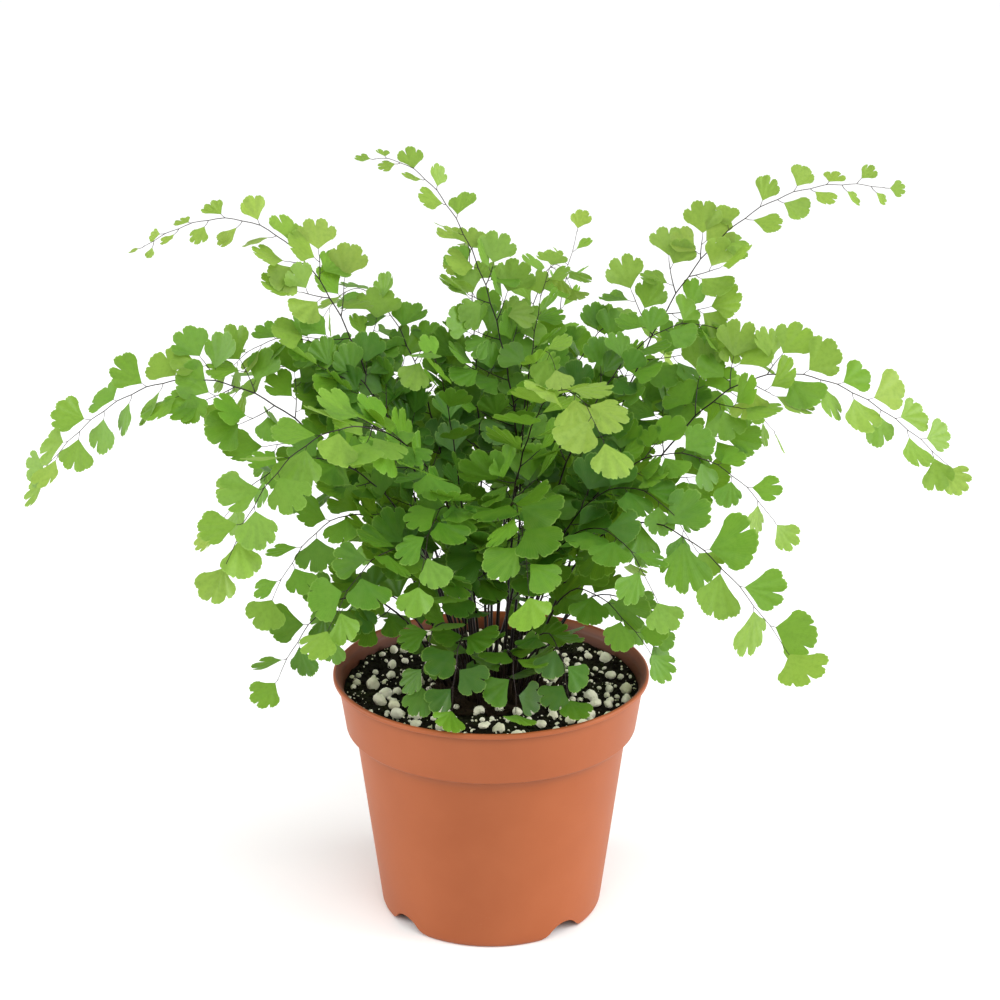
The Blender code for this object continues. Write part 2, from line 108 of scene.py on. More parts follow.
SOIL_TOP_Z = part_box("potting_mix")[1].z / MM
SOIL_SINK = 0.4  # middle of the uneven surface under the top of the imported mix
SOIL_EDGE_RISE = 2.0
SOIL_EDGE_Z = SOIL_TOP_Z + SOIL_EDGE_RISE - SOIL_SINK
SOIL_RADIUS = float(np.interp(SOIL_EDGE_Z, WALL_HEIGHTS, WALL_RADII)) - WALL
SOIL_ROUGHNESS = 1.1
SOIL_RINGS = 54
SOIL_STEPS = 168
SURFACE_GAP = 0.15  # air between the surface and the pot
BLOCK_GAP = 0.3  # air between the block under the surface and the pot
CROWN_RADIUS = 25.0
CROWN_RISE = 4.5
SOIL_LEVEL_RADIUS = CROWN_RADIUS + 4.0  # the mix rises to the wall from here
CRUMB_MARGIN = 1.2  # crumbs and roots keep this far from the wall
CRUMB_COUNT = 1900
CRUMB_SIZES = (0.35, 1.35, 2.2)  # smallest, largest, how rare the large ones are
GRAIN_MARGIN = 0.6  # grains keep this far from the wall
GRAIN_TRIES = 40  # for each grain, to find a free place
LARGE_COUNT = 8  # grains of perlite in the CAD
PERLITE_COUNT = 225
PERLITE_SIZES = (0.8, 3.3, 1.4)
COARSE_SIZE = 1.9  # grains above this have more faces
SPECK_COUNT = 620
SPECK_SIZES = (0.2, 0.6)
HAIR_COUNT = 420
HAIR_LENGTHS = (2.0, 5.5)
HAIR_RADII = (0.13, 0.1, 0.05)
STUB_COUNT = 46
STUB_LENGTHS = (4.0, 11.0)
ROOT_COUNT = 90
ROOT_LENGTHS = (3.0, 9.0)
ROOT_RADII = (0.16, 0.2, 0.2, 0.18, 0.1)

# Stalks
STALK_SPACING = 2.8  # least distance between two stalks' middle lines
STALK_SEAT = 0.7  # height of a stalk's foot over the crown
STALK_SINK = 3.0  # how far a stalk's tube runs on down into the crown
STALK_RADII = (0.62, 0.3, 0.1)  # at its foot, middle and tip
STALK_SIDES = 8
STALK_STEPS = 80
FRAME_REACH = 2.0  # a stalk's direction is taken this far before and after a point
BARE_SPACING = 8.0  # of the cross-sections on the bare part of a stalk
LEAST_BARE = 6  # cross-sections on it
CURVE_PULL = 0.0625
PETIOLE = 1.7
LONG_PETIOLE = 2.6
PETIOLE_RADIUS = 0.12
RACHILLA_RADIUS = 0.2
BRANCH_PARTS = (0.0, 0.2, 0.4, 0.6, 0.8, 1.0)  # cross-sections of a segment's own stalk
KINK = 0.3  # sideways step of a stalk at each of its nodes
RIM_ZONE = (54.0, 98.5)  # no leaflet reaches further out than this below this height
LOWEST_LEAF = 98.0  # no leaflet hangs lower
ARCHING_BARE_SHARE = 0.37
LOW_BARE_SHARE = 0.23  # for arching fronds with a crest under LOW_CREST or a reach under SHORT_REACH
LOW_CREST = 160
SHORT_REACH = 45
SEGMENT_SHARE = 0.35  # spacing of branched segments as a share of their length
BRANCHED_SHARE = 0.62  # share of the blade with branched segments
SINGLE_REACH = 1.35  # segments up to this share of the leaflet length are single leaflets
BRANCH_PITCH = 0.46  # spacing of a segment's leaflets as a share of their length
TAPER_START = 0.45  # share of the blade after which the leaflets get smaller
SEGMENT_ANGLE = 26.0  # lean towards the tip of the segments at the foot of the blade
SEGMENT_SWEEP = 24.0  # how much more those at its tip lean
SEGMENT_AGE = 0.12  # how much older a segment is than the leaflet at the stalk's tip
ARCH_FOLLOWS = 0.3  # share of the foot's turn that the stalk's arch takes too
FOOT_MOVES = [(0.0, 0.0)] + [
    (sign * turn, shift)
    for turn in (6.0, 12.0, 18.0, 24.0, 32.0, 40.0)
    for shift in (0.0, 2.6, -2.6)
    for sign in (1.0, -1.0)
]

# Long fronds: base on the crown, rise, arch and tip of the stalk's curve, then the bare share of
# the stalk, the length of the longest leaf segment, the roll of the blade and the leaflet length
LONG_FRONDS = (
    ((-9, 8), (-44, 10, 189), (-54, 18, 301), (-127, 22, 255), 0.40, 34, -42, 12.0),
    ((-15, 2), (-39, 4, 177), (-101, 8, 259), (-170, 14, 168), 0.38, 30, -55, 13.0),
    ((-12, -9), (4, -30, 201), (-56, -70, 254), (-87, -104, 176), 0.40, 28, -28, 14.5),
    ((-17, -4), (-34, -14, 138), (-58, -28, 152), (-77, -40, 109), 0.42, 20, -40, 13.0),
    ((-2, 10), (29, 12, 150), (0, 18, 293), (-42, 28, 286), 0.45, 26, -35, 11.5),
    ((6, 14), (27, 25, 123), (10, 60, 159), (34, 98, 243), 0.45, 26, 0, 11.5),
    ((11, 12), (40, 16, 116), (44, 24, 294), (145, 35, 274), 0.38, 36, 50, 12.0),
    ((15, 2), (66, 0, 188), (85, -4, 259), (168, -6, 179), 0.36, 30, 55, 13.0),
    ((14, -7), (34, -15, 186), (66, -45, 184), (102, -75, 135), 0.40, 24, 42, 16.0),
    ((12, -12), (23, -14, 123), (24, -30, 165), (57, -45, 122), 0.45, 16, 38, 12.5),
)

# Arching fronds: bearing, reach, crest height, tip height, longest segment, roll, leaflet length
ARCHING_FRONDS = (
    (100, 62, 262, 240, 26, -10, 11.5),
    (66, 76, 252, 228, 26, 15, 11.5),
    (140, 84, 248, 220, 26, -30, 11.5),
    (41, 88, 238, 206, 24, 24, 11.5),
    (157, 112, 228, 186, 28, -40, 11.5),
    (20, 116, 222, 178, 28, 40, 11.5),
    (84, 104, 215, 172, 26, 10, 11.5),
    (118, 108, 205, 160, 26, -10, 11.5),
    (168, 100, 236, 208, 26, -45, 11.5),
    (8, 98, 244, 214, 26, 45, 11.5),
    (196, 102, 206, 164, 26, -42, 12.5),
    (-16, 106, 208, 166, 26, 42, 12.0),
    (228, 36, 226, 226, 20, -20, 11.5),
    (-58, 42, 232, 226, 20, 20, 11.5),
    (48, 37, 244, 244, 22, 0, 11.5),
    (252, 78, 196, 160, 22, -8, 13.0),
    (278, 93, 202, 163, 22, 0, 15.0),
    (294, 92, 236, 214, 24, 10, 14.5),
    (312, 86, 184, 150, 22, 20, 13.5),
    (214, 92, 188, 146, 24, -35, 12.5),
    (236, 98, 180, 146, 22, -15, 13.5),
    (330, 84, 196, 160, 22, 32, 12.5),
    (256, 56, 140, 104, 16, 0, 12.0),
    (280, 52, 132, 101, 16, 1, 12.0),
    (242, 52, 142, 110, 16, -12, 12.0),
    (300, 56, 138, 106, 16, 12, 12.0),
    (188, 60, 142, 114, 16, -30, 12.0),
    (344, 62, 144, 114, 16, 30, 12.0),
    (44, 76, 156, 120, 18, 0, 11.5),
    (92, 72, 152, 116, 18, 0, 11.5),
    (132, 76, 156, 120, 18, 0, 11.5),
)

# Fronds, by number, that differ from the rest
FLAT_FRONDS = (1, 2, 3, 5, 7, 8, 9, 27, 28)  # leaflets lie in the plane of the blade near the tip
OPEN_FRONDS = (1, 2, 7, 8)  # leaflets stand on longer stems
# Age of the frond's leaflets, from 0 young to 1 old
YOUNG_FRONDS = {28: 0.0, 5: 0.2, 3: 0.3, 34: 0.4, 9: 0.4, 2: 0.5, 8: 0.4, 7: 0.35, 1: 0.45, 27: 1.0}
# Leaflet size at the stalk's tip, as a share of the frond's leaflet length
TIP_SIZE = 0.8
TIP_SIZES = {1: 0.3, 5: 0.45, 7: 0.38, 6: 0.6, 2: 0.9, 8: 0.85}
# Spacing of the leaf segments as a share of the leaflet length
SEGMENT_PITCH = 0.58
SEGMENT_PITCHES = {1: 0.64, 2: 0.5, 3: 0.5, 5: 0.6, 7: 0.64, 8: 0.5, 27: 0.46, 28: 0.46}

# Leaflets
HERO_RADIUS = 1.07  # blade radius of the flat fronds as a share of their leaflet length
LEAFLET_STEPS = 66
LEAFLET_RINGS = (0.4, 0.74, 1.0)
LEAFLET_KINDS = 24
EVEN_KINDS = 7
LIGHT_SIDE = Vector((0.08, -0.4, 0.9))
PLANE_HOLD = 0.3  # how far leaflets keep to their frond's plane and not to the light
FLAT_HOLD = 0.45  # what is added to it at the tip of a flat frond
LEAFLET_TILT = 19.0  # spread of the leaflets' random turns, in degrees
LEAFLET_DROOP = 11.0
LEAFLET_RISES = (0.0, 18.0, 36.0, 54.0, 72.0)  # turns upward tried to clear the pot
BOX_MARGIN = 0.3  # leaflets stay this far inside the box of the CAD
OUTWARD_REACH = 190.0  # distance from the middle at which leaflets lean out by 45 degrees
# Painted shade and painted light on the leaflets, carried in their age: darker green in the plant's inside
# and low down, lighter green at the top
SHADE_HEIGHT = 150.0  # middle of the plant's shaded inside
SHADE_REACH = 105.0
SHADE_DARKENING = 0.8
LIT_TOP_HEIGHT = 190.0  # leaflets above this get painted light, a younger, lighter green
LEVEL_HEIGHT = 165.0  # leaflets above this lie flatter, by up to LEVEL_TOP
LEVEL_TOP = 0.42
LEVEL_GAIN = 3.0  # how soon LEVEL_TOP is reached
LOW_SHADE_HEIGHT = 135.0  # leaflets below this get painted shade, an older, darker green
LOW_SHADE_DARKENING = 0.3
AGE_SPREAD = 0.1
TONE_SPREAD = 0.25
VEIN_COUNT = 24

# Seeds of the random draws
LEAFLET_SEED = 400
FROND_SEED = 9000
CRUMB_SEED = 51
PERLITE_SEED = 87
CROWN_SEED = 23

# Colours
# The young green also serves as painted light at the top, the old green as painted shade inside and low
# down
LEAF_YOUNG_AND_LIT = (0.268, 0.385, 0.06)
LEAF_GROWN = (0.118, 0.282, 0.02)
LEAF_OLD_AND_SHADED = (0.02, 0.1, 0.003)
LEAF_COOL = (0.075, 0.25, 0.03)
LEAF_VEIN = (0.3, 0.48, 0.1)
LEAF_THROUGH = (0.3, 0.52, 0.02)
LEAF_LIT_THROUGH = 0.34  # share of the light that shines through a leaflet
STALK_BLACK = (0.004, 0.003, 0.003)
STALK_BROWN = (0.02, 0.008, 0.005)
PLASTIC_DEEP = (0.288, 0.069, 0.016)
PLASTIC_LIGHT = (0.332, 0.088, 0.026)
PLASTIC_DUST = (0.6, 0.42, 0.32)
# Dark brown for soil stain and painted shade inside the pot, and for the painted shade in its creases
PLASTIC_STAIN_AND_SHADE = (0.06, 0.016, 0.006)
PEAT_BLACK = (0.0025, 0.0025, 0.0015)
PEAT_BROWN = (0.022, 0.017, 0.008)
PEAT_GREEN = (0.035, 0.05, 0.01)
PERLITE_WHITE = (0.97, 0.94, 0.78)
PERLITE_STAINED = (0.78, 0.76, 0.46)
PERLITE_PORE = (0.5, 0.47, 0.28)
FIBRE_DARK = (0.006, 0.004, 0.002)
FIBRE_TAN = (0.034, 0.02, 0.01)

# Stage: the floor in millimetres, the lights and the camera in metres
FLOOR_REACH = 14000.0
FLOOR_COLOUR = (0.93, 0.93, 0.93)
SKY_STRENGTH = 0.6
KEY_FROM = (0.25, -0.7, 1.0)
KEY_STRENGTH = 2.0
KEY_SOFTNESS = 60.0
CAMERA_PLACE = (0.0034, -0.8275, 0.4501)
CAMERA_DIP = 19.08
CAMERA_LENS = 85.0
CAMERA_SENSOR = 36.0
LIGHTS = (  # name, place, target, size, power
    ("side_left", (-1.2, -0.1, 0.45), (0.0, 0.0, 0.1), 0.8, 11.0),
    ("side_right", (1.2, -0.15, 0.45), (0.0, 0.0, 0.1), 0.8, 14.0),
)


# ---------------------------- node helpers
class Shader:
    """A material under construction, with short calls for its nodes."""

    def __init__(self, name):
        self.material = bpy.data.materials.new(name)
        self.material.use_nodes = True
        self.tree = self.material.node_tree
        self.surface = self.tree.nodes["Principled BSDF"]

    def link(self, source, target):
        self.tree.links.new(source, target)

    def feed(self, socket, value):
        """Put a socket, a number, a vector or a colour into an input."""
        if isinstance(value, bpy.types.NodeSocket):
            self.link(value, socket)
        elif socket.type == "RGBA":
            socket.default_value = (*value, 1.0)
        else:
            socket.default_value = value

    def node(self, kind, inputs=None, **settings):
        """A new node of a kind, with its settings and what goes into its inputs."""
        made = self.tree.nodes.new("ShaderNode" + kind)
        for name, value in settings.items():
            setattr(made, name, value)
        for key, value in (inputs or {}).items():
            self.feed(made.inputs[key], value)
        return made

    def maths(self, operation, first, second=0.0, clamp=False):
        return self.node("Math", {0: first, 1: second}, operation=operation, use_clamp=clamp).outputs[0]

    def times(self, first, second):
        return self.maths("MULTIPLY", first, second)

    def plus(self, first, second):
        return self.maths("ADD", first, second)

    def mix(self, factor, first, second):
        """A mix of two colours, which are inputs 6 and 7 and output 2 of a Mix node."""
        return self.node("Mix", {0: factor, 6: first, 7: second}, data_type="RGBA").outputs[2]

    def tint(self, colour, other, amount, strength):
        """The colour mixed with another by an amount from 0 to 1 times a strength."""
        return self.mix(self.times(amount, strength), colour, other)

    def place(self):
        return self.node("TexCoord").outputs["Object"]

    def noise(self, scale, detail=3.0, rough=0.5, vector=None):
        inputs = {"Scale": scale, "Detail": detail, "Roughness": rough, "Vector": vector or self.place()}
        return self.node("TexNoise", inputs).outputs["Fac"]

    def ramp(self, value, low, high):
        """Map the stretch between low and high to 0..1."""
        return self.node("MapRange", {"Value": value, "From Min": low, "From Max": high}).outputs["Result"]

    def attribute(self, name):
        return self.node("Attribute", attribute_name=name).outputs["Fac"]

    def bump(self, height, strength, distance):
        inputs = {"Strength": strength, "Distance": distance, "Height": height}
        return self.node("Bump", inputs).outputs["Normal"]

    def finish(self, colour, roughness, specular=0.5, normal=None):
        """Fill in the surface's inputs and hand over the material."""
        inputs = self.surface.inputs
        self.feed(inputs["Base Color"], colour)
        self.feed(inputs["Roughness"], roughness)
        self.feed(inputs["Specular IOR Level"], specular)
        if normal:
            self.link(normal, inputs["Normal"])
        return self.material


def leaf_material():
    """Satin leaflet: greens by age with painted shade and painted light, and by tone, fine radiating veins,
    a paler margin, lit through.
    """
    leaf = Shader("fern_leaf")
    age = leaf.attribute("leaf_age")
    out = leaf.attribute("leaf_out")
    across = leaf.attribute("leaf_across")
    # The age holds painted shade and painted light as well as the leaflet's real age
    grown = leaf.mix(leaf.ramp(age, 0.0, 0.5), LEAF_YOUNG_AND_LIT, LEAF_GROWN)
    green = leaf.mix(leaf.ramp(age, 0.5, 1.0), grown, LEAF_OLD_AND_SHADED)
    green = leaf.tint(green, LEAF_COOL, leaf.attribute("leaf_tone"), 0.35)
    patches = leaf.ramp(leaf.noise(260.0, 4.0, 0.6), 0.35, 0.75)
    green = leaf.tint(green, LEAF_YOUNG_AND_LIT, patches, 0.12)
    fan = leaf.maths("SINE", leaf.times(across, 2.0 * pi * VEIN_COUNT))
    vein = leaf.times(leaf.ramp(fan, 0.55, 1.0), leaf.ramp(out, 0.12, 0.4))
    green = leaf.tint(green, LEAF_VEIN, vein, 0.07)
    margin = leaf.ramp(out, 0.955, 1.0)
    green = leaf.tint(green, LEAF_VEIN, margin, 0.6)
    mottle = leaf.ramp(leaf.noise(700.0, 3.0, 0.6), 0.45, 0.8)
    green = leaf.tint(green, LEAF_OLD_AND_SHADED, mottle, 0.28)
    grain = leaf.noise(1500.0, 2.0)
    relief = leaf.plus(leaf.times(vein, 0.5), leaf.times(grain, 0.35))
    rough = leaf.plus(leaf.times(patches, 0.12), 0.4)
    leaf.finish(green, rough, 0.32, leaf.bump(relief, 0.25, 0.00015))
    through = leaf.node("BsdfTranslucent", {"Color": leaf.mix(0.45, green, LEAF_THROUGH)})
    layers = {0: LEAF_LIT_THROUGH, 1: leaf.surface.outputs[0], 2: through.outputs[0]}
    both = leaf.node("MixShader", layers)
    leaf.link(both.outputs[0], leaf.tree.nodes["Material Output"].inputs["Surface"])
    return leaf.material


def stalk_material():
    """Polished near-black stalk, a little browner where it is thin and in streaks."""
    stalk = Shader("fern_stalk")
    colour = stalk.tint(STALK_BLACK, STALK_BROWN, stalk.attribute("stalk_thin"), 0.7)
    streak = stalk.ramp(stalk.noise(420.0), 0.5, 0.8)
    return stalk.finish(stalk.mix(streak, colour, STALK_BROWN), 0.34, 0.28)


def plastic_material():
    """Matte moulded terracotta plastic: faint flow marks, dust, painted shade in the creases under the band
    and the lip, and soil stain with painted shade inside.
    """
    pot = Shader("pot_plastic")
    place = pot.place()
    upright = pot.node("Mapping", {"Vector": place, "Scale": (1.0, 1.0, 0.12)})
    flow = pot.noise(45.0, 3.0, 0.5, upright.outputs["Vector"])
    cloud = pot.noise(22.0, 4.0, 0.6)
    colour = pot.mix(pot.ramp(cloud, 0.3, 0.7), PLASTIC_DEEP, PLASTIC_LIGHT)
    colour = pot.tint(colour, PLASTIC_LIGHT, pot.ramp(flow, 0.45, 0.8), 0.25)
    # Soil stain and painted shade on the inside of the pot, patchy with the cloud noise
    stain_and_shade_strength = pot.maths("ADD", pot.times(cloud, 0.6), 0.6, clamp=True)
    colour = pot.tint(colour, PLASTIC_STAIN_AND_SHADE, pot.attribute("inside_stain_and_shade"), stain_and_shade_strength)
    height = pot.node("SeparateXYZ", {0: place}).outputs["Z"]
    # Painted shade in the creases under the band's foot and under the lip
    for edge, reach, depth in POT_CREASE_SHADES:
        start = (edge - CREASE_SHADE_START) * MM
        under = pot.ramp(height, edge * MM, start)
        near = pot.ramp(height, (edge - reach) * MM, start)
        crease_shade = pot.times(under, pot.maths("POWER", near, 2.0))
        colour = pot.tint(colour, PLASTIC_STAIN_AND_SHADE, crease_shade, depth)
    dust = pot.ramp(pot.noise(900.0, 5.0, 0.7), 0.66, 0.8)
    colour = pot.tint(colour, PLASTIC_DUST, dust, 0.14)
    rough = pot.plus(pot.times(cloud, 0.16), 0.42)
    fine = pot.noise(2600.0, 3.0, 0.6)
    relief = pot.plus(flow, pot.times(fine, 0.35))
    return pot.finish(colour, rough, 0.3, pot.bump(relief, 0.22, 0.00025))


def peat_material():
    """Damp crumbly peat: near black, brown fibres, a little green algae."""
    peat = Shader("peat_mix")
    cloud = peat.noise(70.0, 5.0, 0.65)
    crumb = peat.noise(700.0, 6.0, 0.7)
    colour = peat.mix(peat.ramp(crumb, 0.35, 0.75), PEAT_BLACK, PEAT_BROWN)
    colour = peat.tint(colour, PEAT_GREEN, peat.ramp(cloud, 0.5, 0.72), 0.5)
    return peat.finish(colour, 0.9, 0.12, peat.bump(crumb, 0.7, 0.0008))


def perlite_material():
    """Puffed glassy grains: chalk white to cream, stained by the damp mix."""
    grain = Shader("perlite")
    stain = grain.ramp(grain.noise(150.0, 4.0, 0.6), 0.38, 0.72)
    pores = grain.noise(1400.0, 5.0, 0.7)
    colour = grain.tint(PERLITE_WHITE, PERLITE_STAINED, stain, 0.22)
    colour = grain.mix(grain.ramp(pores, 0.66, 0.84), colour, PERLITE_PORE)
    colour = grain.mix(grain.attribute("grain_tone"), colour, PERLITE_STAINED)
    return grain.finish(colour, 0.82, normal=grain.bump(pores, 0.8, 0.0005))


def fibre_material():
    """Brown crown: rhizome scales, dead stalk stubs and root hairs."""
    crown = Shader("crown_fibre")
    grain = crown.noise(520.0, 5.0, 0.7)
    colour = crown.mix(crown.ramp(grain, 0.35, 0.75), FIBRE_DARK, FIBRE_TAN)
    return crown.finish(colour, 0.9, 0.1, crown.bump(grain, 0.8, 0.0006))


# ---------------------------- mesh helpers
def clamped(value):
    """The value kept between 0 and 1."""
    return min(1.0, max(0.0, value))


def rotation(degrees, axis):
    return Matrix.Rotation(radians(degrees), 3, axis)


def new_object(name, data):
    """A new object of the scene for the data."""
    made = bpy.data.objects.new(name, data)
    bpy.context.scene.collection.objects.link(made)
    return made


def mesh_object(name, vertices, faces, material=None, attributes=None):
    """An object made from points in millimetres, with a value at each point for each attribute."""
    mesh = bpy.data.meshes.new(name)
    mesh.from_pydata((np.asarray(vertices, float) * MM).tolist(), [], faces)
    for label, values in (attributes or {}).items():
        layer = mesh.attributes.new(label, "FLOAT", "POINT")
        layer.data.foreach_set("value", np.asarray(values, np.float32))
    if material:
        mesh.materials.append(material)
    return new_object(name, mesh)


def declare(piece, slot, *replaced):
    """Make the object a smooth piece that rides on the body, in place of the CAD nodes named."""
    piece.data.shade_smooth()
    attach(piece, BODY)
    if replaced:
        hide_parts(*replaced)


class Soup:
    """Vertices, faces and attributes gathered for one piece."""

    def __init__(self, *labels):
        self.vertices = []
        self.faces = []
        self.values = {label: [] for label in labels}
        self.count = 0

    def add(self, vertices, faces, **values):
        self.vertices.append(np.asarray(vertices, float))
        self.faces += [tuple(corner + self.count for corner in face) for face in faces]
        for label, value in values.items():
            self.values[label].append(np.broadcast_to(value, len(vertices)))
        self.count += len(vertices)

    def add_tube(self, path, radii, sides, **values):
        """Add a closed tube of quads along a path of points, with a radius for each point."""
        path = [Vector(point) for point in path]
        padded = [path[0], *path, path[-1]]
        across = (path[1] - path[0]).normalized().orthogonal().normalized()
        vertices = []
        for before, point, after, radius in zip(padded, path, padded[2:], radii):
            along = (after - before).normalized()
            across = (across - along * across.dot(along)).normalized()
            up = along.cross(across)
            for step in range(sides):
                angle = 2.0 * pi * step / sides
                vertices.append(point + (across * cos(angle) + up * sin(angle)) * radius)
        last = len(vertices) - sides
        faces = []
        for low in range(0, last, sides):
            for step in range(sides):
                first = low + step
                second = low + (step + 1) % sides
                faces.append((first, second, second + sides, first + sides))
        faces += [tuple(reversed(range(sides))), tuple(range(last, last + sides))]
        self.add(vertices, faces, **values)

    def piece(self, name, material, slot, *replaced):
        joined = {label: np.concatenate(parts) for label, parts in self.values.items()}
        made = mesh_object(name, np.concatenate(self.vertices), self.faces, material, joined)
        declare(made, slot, *replaced)


def revolve(profile, steps):
    """Turn (radius, height) points about Z; points on the axis become single vertices."""
    vertices = []
    rings = []
    for radius, height in profile:
        count = steps if radius else 1
        rings.append([len(vertices) + step % count for step in range(steps)])
        for step in range(count):
            angle = 2.0 * pi * step / steps
            vertices.append((radius * cos(angle), radius * sin(angle), height))
    faces = []
    for upper, lower in zip(rings, rings[1:]):
        for step in range(steps):
            following = (step + 1) % steps
            corners = (upper[step], lower[step], lower[following], upper[following])
            faces.append(tuple(dict.fromkeys(corners)))
    return vertices, faces


def bowed(start, corner, end, share):
    """A point on the curve that leaves start towards the corner and reaches end from it."""
    return start.lerp(corner, share).lerp(corner.lerp(end, share), share)


def rounded(profile, reach):
    """Replace every inner corner of a profile by an arc that starts reach away from it."""
    points = [profile[0]]
    corners = [Vector(point) for point in profile]
    for before, corner, after in zip(corners, corners[1:], corners[2:]):
        back = before - corner
        ahead = after - corner
        cut = min(reach, 0.45 * back.length, 0.45 * ahead.length)
        start = corner + back.normalized() * cut
        end = corner + ahead.normalized() * cut
        for step in range(ARC_STEPS + 1):
            points.append(tuple(bowed(start, corner, end, step / ARC_STEPS)))
    points.append(profile[-1])
    return points


# ---------------------------- stalk curves, as in the CAD
def bezier(points, share):
    start, rise, arch, tip = points
    rest = 1.0 - share
    return (
        start * rest ** 3
        + rise * (3.0 * rest * rest * share)
        + arch * (3.0 * rest * share * share)
        + tip * share ** 3
    )


class Stalk:
    """A frond's curved stalk, with a frame (along, side, face) at any length from its foot."""

    def __init__(self, route, roll):
        self.points = [bezier(route, index / STALK_STEPS) for index in range(STALK_STEPS + 1)]
        self.lengths = [0.0]
        for first, second in zip(self.points, self.points[1:]):
            self.lengths.append(self.lengths[-1] + (second - first).length)
        self.total = self.lengths[-1]
        self.roll = roll
        out = route[3] - route[0]
        self.bearing = atan2(out.y, out.x)

    def at(self, length):
        length = min(max(length, 0.0), self.total)
        index = 0
        while index < STALK_STEPS - 1 and self.lengths[index + 1] < length:
            index += 1
        step = self.lengths[index + 1] - self.lengths[index]
        share = (length - self.lengths[index]) / step
        return self.points[index].lerp(self.points[index + 1], share)

    def frame(self, length):
        along = (self.at(length + FRAME_REACH) - self.at(length - FRAME_REACH)).normalized()
        side = Vector((-sin(self.bearing), cos(self.bearing), 0.0))
        side = (side - along * side.dot(along)).normalized()
        side = rotation(self.roll, along) @ side
        return along, side, along.cross(side)

    def radius(self, length):
        return float(np.interp(length / self.total, (0.0, 0.5, 1.0), STALK_RADII))


def crown_top(radius):
    """Height of the crown's domed top at a distance from its middle."""
    return SOIL_TOP_Z + CROWN_RISE * (1.0 - (radius / CROWN_RADIUS) ** 2)


def arching_route(bearing, reach, crest, tip_height):
    """Curve of a frond that rises from the crown and bows outward in one vertical plane."""
    angle = radians(bearing)
    out = Vector((cos(angle), sin(angle), 0.0))
    rise = crest - SOIL_TOP_Z
    base_radius = 4.0 + 17.0 * min(1.0, 45.0 / rise)
    base = out * base_radius
    return (
        (base.x, base.y),
        out * (base_radius + 0.1 * reach) + Vector((0.0, 0.0, SOIL_TOP_Z + 0.62 * rise)),
        out * (base_radius + 0.5 * reach) + Vector((0.0, 0.0, SOIL_TOP_Z + 1.12 * rise)),
        out * reach + Vector((0.0, 0.0, tip_height)),
    )


def clear_stalk(base, rise, arch, tip, roll, stalks):
    """The stalk with its foot moved about the crown until it is clear of the stalks before it."""
    spots = [spot for other in stalks for spot in other.points[::2]]
    for turn, shift in FOOT_MOVES:
        spin = rotation(turn, "Z")
        bend = rotation(ARCH_FOLLOWS * turn, "Z")
        foot = spin @ Vector((base[0], base[1], 0.0))
        foot *= (foot.length + shift) / foot.length
        foot.z = crown_top(foot.length) + STALK_SEAT
        stalk = Stalk((foot, spin @ Vector(rise), bend @ Vector(arch), Vector(tip)), roll)
        if all((point - spot).length >= STALK_SPACING for point in stalk.points[::2] for spot in spots):
            return stalk
    raise RuntimeError("no clear foot for the stalk that ends at " + str(tip))


def segment_plan(stalk, bare_share, longest, leaflet, tip_size, pitch):
    """The leaf segments along the stalk: (length from the foot, side sign, length, leaflet scale)."""
    plan = []
    first = stalk.total * bare_share
    blade = stalk.total - first
    position = first
    sign = 1.0
    scale = 1.0
    while position < stalk.total - 0.45 * leaflet * scale:
        share = (position - first) / blade
        shrunk = max(0.0, (share - TAPER_START) / (1.0 - TAPER_START)) ** 1.3
        scale = 1.0 - (1.0 - tip_size) * shrunk
        reach = leaflet * scale + (longest - leaflet) * max(0.0, 1.0 - share / BRANCHED_SHARE) ** 0.8
        plan.append((position, sign, reach, scale))
        sign = -sign
        position += max(pitch * leaflet * (0.45 + 0.55 * scale), SEGMENT_SHARE * reach)
    plan.append((stalk.total, 0.0, leaflet * scale, scale))
    return plan


